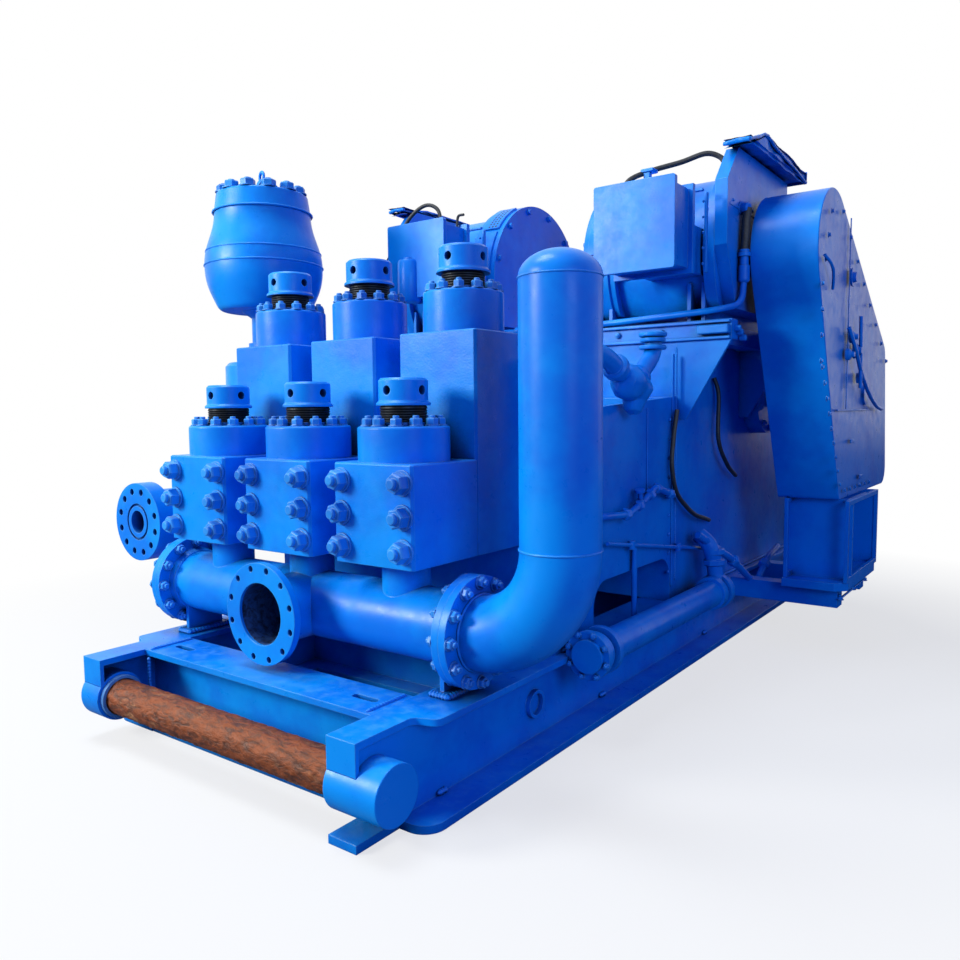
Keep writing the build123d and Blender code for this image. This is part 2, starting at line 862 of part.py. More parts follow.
with BuildPart() as crankcase:
    with BuildSketch(at_side(-frame_half_width)):
        with BuildLine():
            Polyline(
                (crankcase_back, crankcase_top - cover_arch_radius),
                (crankcase_back, beam_height),
                (crankcase_front, beam_height),
                (crankcase_front, crankcase_top),
                (crankcase_back - cover_arch_radius, crankcase_top),
            )
            RadiusArc(
                (crankcase_back - cover_arch_radius, crankcase_top),
                (crankcase_back, crankcase_top - cover_arch_radius),
                cover_arch_radius,
            )
        make_face()
    extrude(amount=frame_width)
save(crankcase, "crankcase")

with BuildPart() as bearing_covers:
    for end in (-1, 1):
        with BuildSketch(at_side(end * frame_half_width)):
            with Locations((pinion_depth, pinion_level)):
                Circle(bearing_radius)
        extrude(amount=end * bearing_length)
save(bearing_covers, "bearing_covers")

with BuildPart() as drive_shafts:
    for end in (-1, 1):
        with BuildSketch(at_side(end * (frame_half_width + bearing_length))):
            with Locations((pinion_depth, pinion_level)):
                Circle(shaft_radius)
        extrude(amount=end * (guard_inner - frame_half_width - bearing_length))
        with BuildSketch(at_side(end * duct_outer)):
            with Locations((motor_depth, motor_level)):
                Circle(shaft_radius)
        extrude(amount=end * (guard_inner - duct_outer))
save(drive_shafts, "drive_shafts")

with BuildPart() as rear_hatch:
    with BuildSketch(at_depth(crankcase_back)):
        with Locations((0, hatch_level)):
            RectangleRounded(hatch_width, hatch_height, 40)
    extrude(amount=-hatch_thickness)
save(rear_hatch, "rear_hatch")

# =============================================================================
# Motor base with its gussets
# =============================================================================

rail_places = [motor_inner + rail_width, duct_inner - rail_width]
base_bottom = crankcase_top
base_top = base_bottom + base_beam_height

with BuildPart() as motor_base:
    with BuildSketch(at_level(base_bottom)):
        with Locations((0, crankcase_front)):
            Rectangle(2 * base_half_width, base_beam_width, align=(Align.CENTER, Align.MIN))
        with Locations((0, base_back)):
            Rectangle(2 * base_half_width, base_beam_width, align=(Align.CENTER, Align.MAX))
        for end in (-1, 1):
            for rail_x in rail_places:
                with Locations((end * rail_x, crankcase_front)):
                    Rectangle(
                        rail_width,
                        base_back - crankcase_front,
                        align=(Align.CENTER, Align.MIN),
                    )
    extrude(amount=base_beam_height)
    for depth in (crankcase_front, base_back - gusset_thickness):
        for end in (-1, 1):
            with BuildSketch(at_depth(depth)):
                with BuildLine():
                    Polyline(
                        (end * frame_half_width, base_bottom),
                        (end * base_half_width, base_bottom),
                        (end * (frame_half_width + rail_width / 2), base_bottom - gusset_drop),
                        (end * frame_half_width, base_bottom - gusset_drop),
                        close=True,
                    )
                make_face()
            extrude(amount=-gusset_thickness)
save(motor_base, "motor_base")

# =============================================================================
# Motors, terminal boxes, air ducts and rain hoods
# =============================================================================

foot_level = base_top + motor_foot_height

motor_front = motor_depth - motor_radius
motor_back = motor_depth + motor_radius
motor_sections = [
    (motor_inner, motor_bell_length, motor_radius),
    (
        motor_inner + motor_bell_length,
        duct_inner - motor_flange_length - motor_inner - motor_bell_length,
        motor_body_radius,
    ),
    (duct_inner - motor_flange_length, motor_flange_length, motor_radius),
]

with BuildPart() as motor_right:
    # end bell, body and flange, cut level above the base
    for inner_side, length, radius in motor_sections:
        with BuildSketch(at_side(inner_side)):
            with Locations((motor_depth, motor_level)):
                Circle(radius)
            with Locations((motor_depth, foot_level)):
                Rectangle(
                    2 * radius, 2 * radius, align=(Align.CENTER, Align.MAX), mode=Mode.SUBTRACT
                )
        extrude(amount=length)
    # foot plates, in pairs over the rails of the base
    for rail_x in rail_places:
        for side in (-1, 1):
            plate_x = rail_x + (side * motor_foot_spacing - motor_foot_thickness) / 2
            with BuildSketch(at_side(plate_x)):
                with Locations((motor_depth, base_top)):
                    Rectangle(
                        2 * motor_foot_reach,
                        motor_foot_rise,
                        align=(Align.CENTER, Align.MIN),
                    )
            extrude(amount=motor_foot_thickness)
save(motor_right, "motor_right")

with BuildPart() as motor_left:
    mirror(motor_right.part, about=Plane.YZ)
save(motor_left, "motor_left")


def build_terminal_box(right_edge, end):
    """Box on the front of the motor at that end: lid, body, rear flange and neck."""
    middle_x = right_edge - box_width / 2
    middle_z = (box_bottom + box_top) / 2
    height = box_top - box_bottom
    box_front = motor_front - box_standoff
    rear_flange_face = box_front + box_depth - box_lid
    with BuildPart() as box:
        with BuildSketch(at_depth(box_front)):
            with Locations((middle_x, middle_z)):
                RectangleRounded(box_width, height, 12)
        extrude(amount=-box_lid)
        with BuildSketch(at_depth(box_front + box_lid)):
            with Locations((middle_x, middle_z)):
                Rectangle(box_width - 2 * box_step, height - 2 * box_step)
        extrude(amount=-(box_depth - 2 * box_lid))
        with BuildSketch(at_depth(rear_flange_face)):
            with Locations((middle_x, middle_z)):
                Rectangle(box_width, height)
        extrude(amount=-box_lid)
        with BuildSketch(at_depth(box_front + box_depth)):
            with Locations((middle_x, motor_level)):
                Rectangle(box_neck_width, box_neck_height)
        extrude(amount=-(box_standoff + motor_radius - box_depth))
        # the neck's end follows the motor's round front
        for inner_side, length, radius in motor_sections:
            with BuildSketch(at_side(end * inner_side)):
                with Locations((motor_depth, motor_level)):
                    Circle(radius + seat_gap)
            extrude(amount=end * length, mode=Mode.SUBTRACT)
    return box


terminal_box_right = build_terminal_box(box_right_edge, end=1)
save(terminal_box_right, "terminal_box_right")
terminal_box_left = build_terminal_box(box_right_edge - box_pitch, end=-1)
save(terminal_box_left, "terminal_box_left")

with BuildPart() as air_duct_right:
    with BuildSketch(at_side(duct_inner)):
        with BuildLine():
            Polyline(
                (motor_front, duct_shoulder),
                (motor_front + duct_lean, duct_top),
                (motor_back, duct_top),
                (motor_back, foot_level),
                (motor_front + duct_lean, foot_level),
                (motor_front, duct_bottom),
                close=True,
            )
        make_face()
    extrude(amount=duct_outer - duct_inner)
save(air_duct_right, "air_duct_right")

with BuildPart() as air_duct_left:
    mirror(air_duct_right.part, about=Plane.YZ)
save(air_duct_left, "air_duct_left")

hood_front = motor_front + duct_lean - hood_overhang
hood_back = motor_back + hood_overhang
hood_width = duct_outer + hood_overhang - duct_inner - hood_inset

with BuildPart() as rain_hoods:
    for end, rise in ((-1, hood_rise_left), (1, hood_rise_right)):
        with BuildSketch(at_side(end * (duct_inner + hood_inset))):
            with BuildLine():
                Polyline(
                    (hood_front, duct_top),
                    (hood_front + hood_crest, duct_top + rise),
                    (hood_back, duct_top + rise * hood_tail),
                    (hood_back, duct_top),
                    close=True,
                )
            make_face()
        extrude(amount=end * hood_width)
save(rain_hoods, "rain_hoods")

# =============================================================================
# Belt guards and their stands
# =============================================================================

with BuildPart() as belt_guard_right:
    with BuildSketch(at_side(guard_inner)):
        with Locations((motor_depth, motor_level)):
            Circle(small_guard_radius)
        with Locations((guard_front_foot + guard_corner / 4, guard_bottom + guard_corner / 4)):
            Circle(guard_corner / 4)
        with Locations((guard_back - guard_corner, guard_bottom + guard_corner)):
            Circle(guard_corner)
        with Locations((guard_back - 2 * guard_corner, guard_back_shoulder - guard_corner)):
            Circle(guard_corner)
        make_hull()
    extrude(amount=guard_width)
    fillet(belt_guard_right.faces().sort_by(Axis.X)[-1].edges(), 6)
    with BuildSketch(at_side(guard_inner + guard_width)):
        with Locations((pinion_depth, pinion_level)):
            Circle(port_radius)
    extrude(amount=port_thickness)
save(belt_guard_right, "belt_guard_right")

with BuildPart() as belt_guard_left:
    mirror(belt_guard_right.part, about=Plane.YZ)
save(belt_guard_left, "belt_guard_left")

stand_inner = guard_inner + stand_gap
stand_outer = stand_inner + stand_width
stand_back = stand_front + stand_depth
stand_middle_y = (stand_front + stand_back) / 2
stand_floor = beam_height + stand_base
stand_height = guard_bottom - stand_floor

with BuildPart() as guard_stands:
    # base frame with cut corners on its outer side
    with BuildSketch(at_level(beam_height)):
        with BuildLine():
            Polyline(
                (stand_inner, stand_front - stand_base_lip),
                (stand_outer - stand_base_corner, stand_front - stand_base_lip),
                (stand_outer, stand_front - stand_base_lip + stand_base_corner),
                (stand_outer, stand_back - stand_base_corner),
                (stand_outer - stand_base_corner, stand_back),
                (stand_inner, stand_back),
                close=True,
            )
        make_face()
    extrude(amount=stand_base)
    # side plates with a window each
    for plate_x in (stand_inner, stand_outer - stand_plate):
        with BuildSketch(at_side(plate_x)):
            with Locations((stand_middle_y, stand_floor)):
                Rectangle(stand_depth, stand_height, align=(Align.CENTER, Align.MIN))
            with Locations((stand_middle_y, stand_floor + stand_height / 2)):
                Rectangle(
                    stand_depth - 2 * stand_rim,
                    stand_height - 2 * stand_rim,
                    mode=Mode.SUBTRACT,
                )
        extrude(amount=stand_plate)
    # front and back panels
    for panel_y in (stand_front + stand_recess, stand_back - stand_plate):
        with BuildSketch(at_depth(panel_y)):
            with Locations((stand_inner, stand_floor)):
                Rectangle(stand_width, stand_height, align=(Align.MIN, Align.MIN))
        extrude(amount=-stand_plate)
    # outriggers from the skid beam
    for depth in (stand_front + outrigger_width, stand_back - outrigger_width):
        with BuildSketch(at_depth(depth - outrigger_width / 2)):
            with Locations((flange_outer, beam_height)):
                Rectangle(
                    stand_outer - stand_base_corner - flange_outer,
                    outrigger_height,
                    align=(Align.MIN, Align.MAX),
                )
            with Locations((web_outer, web_top)):
                Rectangle(
                    flange_outer - web_outer,
                    outrigger_height - top_flange_thickness,
                    align=(Align.MIN, Align.MAX),
                )
        extrude(amount=-outrigger_width)
    mirror(about=Plane.YZ)
save(guard_stands, "guard_stands")

# =============================================================================
# Drain pipe beside the right skid beam
# =============================================================================

with BuildPart() as drain_pipe:
    with BuildSketch(at_depth(drain_front)):
        with Locations((drain_offset, drain_level)):
            Circle(drain_radius)
    extrude(amount=-(drain_back - drain_front))
    with BuildSketch(at_depth(drain_back)):
        with Locations((drain_offset, drain_level)):
            Circle(drain_cap_radius)
    extrude(amount=-drain_cap_length)
    for depth in (drain_front + drain_cap_length, drain_back - 2 * drain_cap_length):
        with BuildSketch(at_depth(depth)):
            with Locations((flange_outer, beam_height)):
                Rectangle(
                    drain_offset - flange_outer,
                    drain_bracket_width,
                    align=(Align.MIN, Align.MAX),
                )
        extrude(amount=-drain_bracket_width)
save(drain_pipe, "drain_pipe")
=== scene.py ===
"""Triplex mud pump: finishes, fittings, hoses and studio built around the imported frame."""

import json
import logging
import math
from dataclasses import dataclass
from enum import Enum
from typing import Iterable, Sequence

import bmesh
import bpy
from mathutils import Matrix, Vector, noise

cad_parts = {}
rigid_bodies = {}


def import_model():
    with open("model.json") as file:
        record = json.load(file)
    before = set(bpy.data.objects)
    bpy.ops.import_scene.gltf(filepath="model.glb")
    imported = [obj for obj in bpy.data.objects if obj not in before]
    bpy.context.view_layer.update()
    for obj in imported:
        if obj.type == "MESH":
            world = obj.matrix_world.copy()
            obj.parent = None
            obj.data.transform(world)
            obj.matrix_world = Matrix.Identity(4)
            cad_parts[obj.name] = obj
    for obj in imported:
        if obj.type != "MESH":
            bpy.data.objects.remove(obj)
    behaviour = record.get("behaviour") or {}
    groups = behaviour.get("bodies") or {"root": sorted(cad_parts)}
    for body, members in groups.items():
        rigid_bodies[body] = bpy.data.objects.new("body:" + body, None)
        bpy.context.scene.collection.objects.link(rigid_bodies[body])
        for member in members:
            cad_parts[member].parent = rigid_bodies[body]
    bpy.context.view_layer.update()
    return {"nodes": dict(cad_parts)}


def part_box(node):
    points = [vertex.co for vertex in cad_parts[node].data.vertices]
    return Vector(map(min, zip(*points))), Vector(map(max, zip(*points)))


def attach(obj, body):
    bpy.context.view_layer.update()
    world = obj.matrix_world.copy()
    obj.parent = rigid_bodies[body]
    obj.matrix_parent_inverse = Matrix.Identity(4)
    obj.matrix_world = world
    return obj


log = logging.getLogger("mud_pump")

for leftover in list(bpy.data.objects):
    bpy.data.objects.remove(leftover)
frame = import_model()

MM = 0.001
UP = Vector((0, 0, 1))
BACK = Vector((0, 1, 0))
RIGHT = Vector((1, 0, 0))
Point = tuple[float, float, float]
COUPLING = ((0, 0.028), (0.008, 0.036), (0.045, 0.036), (0.053, 0.028))


# ---------------------------------------------------------------- materials


def linear(code: str) -> tuple[float, float, float, float]:
    """Turns an sRGB hex colour into linear light.

    Args:
        code: six hex digits after a hash.

    Returns:
        Red, green, blue and alpha, each from 0 to 1.
    """
    parts = [int(code[i:i + 2], 16) / 255 for i in (1, 3, 5)]
    light = [c / 12.92 if c <= 0.04045 else ((c + 0.055) / 1.055) ** 2.4 for c in parts]
    return light[0], light[1], light[2], 1.0


def per_metre(millimetres: float) -> float:
    """Pattern scale, in repeats per metre, of a feature of that size."""
    return 1.0 / (millimetres * MM)


def add_node(
    tree: bpy.types.NodeTree,
    kind: str,
    settings: dict[str, object] | None = None,
    links: dict[str | int, bpy.types.NodeSocket] | None = None,
    **attributes: object,
) -> bpy.types.Node:
    """Adds one shader node.

    Args:
        tree: the material's or world's node tree.
        kind: Blender's name for the node type.
        settings: input socket to its value.
        links: input socket to the output that feeds it.
        attributes: properties of the node itself.

    Returns:
        The new node.
    """
    node = tree.nodes.new(kind)
    for key, value in attributes.items():
        setattr(node, key, value)
    for key, value in (settings or {}).items():
        node.inputs[key].default_value = value
    for key, source in (links or {}).items():
        tree.links.new(source, node.inputs[key])
    return node


class Substrate(Enum):
    """What the paint lies on, which sets how even the surface is."""

    PLATE = "rolled plate"
    CASTING = "casting"
    SHEET = "thin sheet"
    PIPE = "drawn pipe"


@dataclass(frozen=True)
class Enamel:
    """Air-dried alkyd enamel, sprayed thick over primer: glossy, wet-looking, a little uneven."""

    name: str
    substrate: Substrate
    colour: str = "#0594F2"
    deep: str = "#0879E4"
    # pale colour of dust on the tops, also used for the painted highlight on edges
    dust_and_highlight: str = "#7CC6F2"
    primer: str = "#24364F"
    # colour and reach in millimetres of the painted shade laid into corners and recesses
    painted_shade: str = "#030F2E"
    corner: float = 170.0

    WAVES = {
        Substrate.PLATE: (260.0, 0.30, 9.0, 0.10),
        Substrate.CASTING: (120.0, 0.25, 7.0, 0.30),
        Substrate.SHEET: (330.0, 0.55, 11.0, 0.08),
        Substrate.PIPE: (180.0, 0.20, 9.0, 0.06),
    }

    def build(self) -> bpy.types.Material:
        """Makes the enamel's material.

        Returns:
            The material, with a patchy tone, a dusting on its tops, chips and a painted highlight
            on its edges, painted shade in its corners and orange peel.
        """
        material = bpy.data.materials.new(self.name)
        material.use_nodes = True
        tree = material.node_tree
        shader = tree.nodes["Principled BSDF"]
        wave, wave_height, grain, grain_height = self.WAVES[self.substrate]
        place = add_node(tree, "ShaderNodeTexCoord").outputs["Object"]

        cloud = add_node(
            tree, "ShaderNodeTexNoise",
            {"Scale": per_metre(420.0), "Detail": 5.0, "Roughness": 0.6}, {"Vector": place},
        )
        coat = add_node(
            tree, "ShaderNodeMix", {"A": linear(self.deep), "B": linear(self.colour)},
            {"Factor": add_node(
                    tree, "ShaderNodeMapRange", {"From Min": 0.35, "From Max": 0.62},
                    {"Value": cloud.outputs["Fac"]}, interpolation_type="SMOOTHSTEP",
                ).outputs[0]}, data_type="RGBA",
        )
        # dust settles on what faces up
        facing = add_node(tree, "ShaderNodeNewGeometry")
        upward = add_node(tree, "ShaderNodeSeparateXYZ", links={0: facing.outputs["Normal"]})
        speckle = add_node(
            tree, "ShaderNodeTexNoise",
            {"Scale": per_metre(60.0), "Detail": 8.0, "Roughness": 0.7}, {"Vector": place},
        )
        settled = add_node(
            tree, "ShaderNodeMath", links={
                0: add_node(
                    tree, "ShaderNodeMapRange", {"From Min": 0.72, "From Max": 0.98},
                    {"Value": upward.outputs["Z"]}, interpolation_type="SMOOTHSTEP",
                ).outputs[0],
                1: add_node(
                    tree, "ShaderNodeMapRange", {"From Min": 0.42, "From Max": 0.78},
                    {"Value": speckle.outputs["Fac"]}, interpolation_type="SMOOTHSTEP",
                ).outputs[0],
            }, operation="MULTIPLY",
        )
        lightly = add_node(
            tree, "ShaderNodeMath", {1: 0.35}, {0: settled.outputs[0]}, operation="MULTIPLY",
        )
        dusted = add_node(
            tree, "ShaderNodeMix", {"B": linear(self.dust_and_highlight)},
            {"Factor": lightly.outputs[0], "A": coat.outputs["Result"]}, data_type="RGBA",
        )
        # where the rounded normal leaves the flat one, an edge gets a painted highlight, and chips
        # where it is struck
        rounded = add_node(tree, "ShaderNodeBevel", {"Radius": 5.0 * MM}, samples=4)
        bend = add_node(
            tree, "ShaderNodeVectorMath",
            links={0: rounded.outputs["Normal"], 1: facing.outputs["Normal"]},
            operation="DOT_PRODUCT",
        )
        edge = add_node(
                    tree, "ShaderNodeMapRange", {"From Min": 0.97, "From Max": 0.86},
                    {"Value": bend.outputs["Value"]}, interpolation_type="SMOOTHSTEP",
                ).outputs[0]
        # painted highlight: edges are lightened toward the pale dust colour
        thick = add_node(
            tree, "ShaderNodeMath", {1: 0.42}, {0: edge}, operation="MULTIPLY",
        )
        highlighted = add_node(
            tree, "ShaderNodeMix", {"B": linear(self.dust_and_highlight)},
            {"Factor": thick.outputs[0], "A": dusted.outputs["Result"]}, data_type="RGBA",
        )
        flake = add_node(
            tree, "ShaderNodeTexNoise",
            {"Scale": per_metre(34.0), "Detail": 9.0, "Roughness": 0.72}, {"Vector": place},
        )
        struck = add_node(
            tree, "ShaderNodeMath",
            links={0: edge, 1: add_node(
                    tree, "ShaderNodeMapRange", {"From Min": 0.60, "From Max": 0.66},
                    {"Value": flake.outputs["Fac"]}, interpolation_type="SMOOTHSTEP",
                ).outputs[0]},
            operation="MULTIPLY",
        )
        worn = add_node(
            tree, "ShaderNodeMix", {"B": linear(self.primer)},
            {"Factor": struck.outputs[0], "A": highlighted.outputs["Result"]}, data_type="RGBA",
        )
        # painted shade: corners and recesses, where the occlusion node finds little open sky, are
        # darkened toward near-black navy
        open_sky = add_node(
            tree, "ShaderNodeAmbientOcclusion", {"Distance": self.corner * MM}, samples=6
        )
        shade_mask = add_node(
            tree, "ShaderNodeMapRange",
            {"From Min": 0.60, "From Max": 0.16, "To Max": 0.90},
            {"Value": open_sky.outputs["AO"]}, interpolation_type="SMOOTHSTEP",
        )
        shaded = add_node(
            tree, "ShaderNodeMix", {"B": linear(self.painted_shade)},
            {"Factor": shade_mask.outputs["Result"], "A": worn.outputs["Result"]}, data_type="RGBA",
        )
        tree.links.new(shaded.outputs["Result"], shader.inputs["Base Color"])

        gloss = add_node(
            tree, "ShaderNodeMapRange",
            {"From Min": 0.3, "From Max": 0.75, "To Min": 0.24, "To Max": 0.46},
            {"Value": speckle.outputs["Fac"]},
        )
        tree.links.new(gloss.outputs["Result"], shader.inputs["Roughness"])
        shader.inputs["IOR"].default_value = 1.5
        shader.inputs["Specular IOR Level"].default_value = 0.22

        sway = add_node(
            tree, "ShaderNodeTexNoise", {"Scale": per_metre(wave), "Detail": 2.0},
            {"Vector": place},
        )
        peel = add_node(
            tree, "ShaderNodeTexNoise", {"Scale": per_metre(grain), "Detail": 3.0},
            {"Vector": place},
        )
        wavy = add_node(
            tree, "ShaderNodeBump", {"Strength": wave_height, "Distance": 10.0 * MM},
            {"Height": sway.outputs["Fac"], "Normal": rounded.outputs["Normal"]},
        )
        skin = add_node(
            tree, "ShaderNodeBump", {"Strength": grain_height, "Distance": 2.0 * MM},
            {"Height": peel.outputs["Fac"], "Normal": wavy.outputs["Normal"]},
        )
        tree.links.new(skin.outputs["Normal"], shader.inputs["Normal"])
        return material


@dataclass(frozen=True)
class Steel:
    """Steel under rust or polish: scale stands proud and stays dark. The tone between the patches
    is clean metal on the ground steel, rubbed spots with a painted highlight on the roller and
    partly a painted reflection in the bore.
    """

    name: str
    bare_and_highlight: str
    rust: str
    dark: str
    rust_share: float
    metallic: float
    roughness: tuple[float, float]
    flake_mm: float
    depth_mm: float
    stretch: float = 1.0

    def build(self) -> bpy.types.Material:
        """Makes the steel's material.

        Returns:
            The material, with patches of rust in two tones over a lighter tone.
        """
        material = bpy.data.materials.new(self.name)
        material.use_nodes = True
        tree = material.node_tree
        shader = tree.nodes["Principled BSDF"]
        spot = add_node(tree, "ShaderNodeTexCoord")
        place = add_node(
            tree, "ShaderNodeMapping", {"Scale": (self.stretch, 1.0, 1.0)},
            {"Vector": spot.outputs["Object"]},
        ).outputs["Vector"]
        flake = add_node(
            tree, "ShaderNodeTexNoise",
            {"Scale": per_metre(self.flake_mm), "Detail": 10.0, "Roughness": 0.68,
             "Distortion": 0.6},
            {"Vector": place},
        )
        patch = add_node(
            tree, "ShaderNodeTexNoise",
            {"Scale": per_metre(self.flake_mm * 4), "Detail": 6.0, "Roughness": 0.65},
            {"Vector": place},
        )
        tones = add_node(
            tree, "ShaderNodeMix", {"A": linear(self.dark), "B": linear(self.rust)},
            {"Factor": add_node(
                    tree, "ShaderNodeMapRange", {"From Min": 0.36, "From Max": 0.60},
                    {"Value": flake.outputs["Fac"]}, interpolation_type="SMOOTHSTEP",
                ).outputs[0]}, data_type="RGBA",
        )
        edge = 1.0 - self.rust_share
        cover = add_node(
                    tree, "ShaderNodeMapRange", {"From Min": edge - 0.08, "From Max": edge + 0.08},
                    {"Value": patch.outputs["Fac"]}, interpolation_type="SMOOTHSTEP",
                ).outputs[0]
        skin = add_node(
            tree, "ShaderNodeMix", {"A": linear(self.bare_and_highlight)},
            {"Factor": cover, "B": tones.outputs["Result"]}, data_type="RGBA",
        )
        tree.links.new(skin.outputs["Result"], shader.inputs["Base Color"])
        shader.inputs["Metallic"].default_value = self.metallic
        rough = add_node(
            tree, "ShaderNodeMapRange",
            {"To Min": self.roughness[0], "To Max": self.roughness[1]},
            {"Value": flake.outputs["Fac"]},
        )
        tree.links.new(rough.outputs["Result"], shader.inputs["Roughness"])
        relief = add_node(
            tree, "ShaderNodeBump", {"Strength": 1.0, "Distance": self.depth_mm * MM},
            {"Height": flake.outputs["Fac"]},
        )
        tree.links.new(relief.outputs["Normal"], shader.inputs["Normal"])
        return material


@dataclass(frozen=True)
class Rubber:
    """Hose cover or gland: carbon-black rubber, matt with a faint sheen."""

    name: str
    colour: str
    roughness: float = 0.55
    grain_mm: float = 6.0

    def build(self) -> bpy.types.Material:
        """Makes the rubber's material, with a fine grain and a dusty bloom."""
        material = bpy.data.materials.new(self.name)
        material.use_nodes = True
        tree = material.node_tree
        shader = tree.nodes["Principled BSDF"]
        place = add_node(tree, "ShaderNodeTexCoord").outputs["Object"]
        grain = add_node(
            tree, "ShaderNodeTexNoise", {"Scale": per_metre(self.grain_mm), "Detail": 4.0},
            {"Vector": place},
        )
        bloom = add_node(
            tree, "ShaderNodeMix", {"A": linear(self.colour), "B": linear("#3C4654")},
            {"Factor": add_node(
                    tree, "ShaderNodeMapRange", {"From Min": 0.45, "From Max": 0.85},
                    {"Value": grain.outputs["Fac"]}, interpolation_type="SMOOTHSTEP",
                ).outputs[0]}, data_type="RGBA",
        )
        tree.links.new(bloom.outputs["Result"], shader.inputs["Base Color"])
        shader.inputs["Roughness"].default_value = self.roughness
        relief = add_node(
            tree, "ShaderNodeBump", {"Strength": 0.3, "Distance": 1.0 * MM},
            {"Height": grain.outputs["Fac"]},
        )
        tree.links.new(relief.outputs["Normal"], shader.inputs["Normal"])
        return material


PLATE = Enamel("plate_enamel", Substrate.PLATE).build()
CASTING = Enamel("casting_enamel", Substrate.CASTING).build()
SHEET = Enamel("sheet_enamel", Substrate.SHEET).build()
PIPE = Enamel("pipe_enamel", Substrate.PIPE).build()
# pale tan tone on the roller: partly rubbed spots, partly a painted highlight on the rust
ROLLER = Steel(
    "rusty_roller", "#C88A58", "#8C4415", "#4E240C", 0.66, 0.12, (0.34, 0.70), 22.0, 9.0,
    stretch=0.35,
).build()
BRIGHT = Steel(
    "ground_steel", "#A9ADB2", "#8A6A50", "#55504A", 0.22, 1.0, (0.22, 0.45), 30.0, 0.4
).build()
HOSE = Rubber("hose_rubber", "#14181E").build()
# nut enamel: its near-white dust colour also paints the highlights on the nut edges, and painted
# shade reaches 60 mm into their corners
NUTS = Enamel(
    "nut_enamel", Substrate.CASTING, colour="#2F9BEE", deep="#1E74CC", dust_and_highlight="#B9DCF6",
    corner=60.0,
).build()
# near-black thread steel: partly its own oiled colour, partly painted shade under the valve cover
# plugs
THREAD_AND_SHADE = Steel(
    "dark_thread_and_shade", "#2C333D", "#1E2630", "#0C1016", 0.75, 0.6, (0.30, 0.55), 12.0, 0.6
).build()
# painted shade: near-black discs that stand in for the screen's open holes
HOLE_SHADE = Rubber("painted_hole_shade", "#05080F").build()
WORN = Enamel(
    "worn_enamel", Substrate.PLATE, colour="#7FB2DE", deep="#3E78B8", dust_and_highlight="#C9DDF0"
).build()
# inlet bore: blue paint and dirt, with pale patches that are partly painted reflection
BORE_AND_REFLECTIONS = Steel(
    "bore_paint_and_reflections", "#7FA6CC", "#2A4F86", "#0B1836", 0.66, 0.2, (0.30, 0.7), 26.0, 5.0
).build()


# ---------------------------------------------------------------- geometry


@dataclass(frozen=True)
class Extent:
    """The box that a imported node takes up."""

    low: Vector
    high: Vector

    @classmethod
    def of(cls, node: str) -> "Extent":
        """Reads a node's box from the frame."""
        low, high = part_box(node)
        return cls(Vector(low), Vector(high))

    @property
    def middle(self) -> Vector:
        """The box's centre."""
        return (self.low + self.high) / 2

    @property
    def size(self) -> Vector:
        """The box's edges."""
        return self.high - self.low


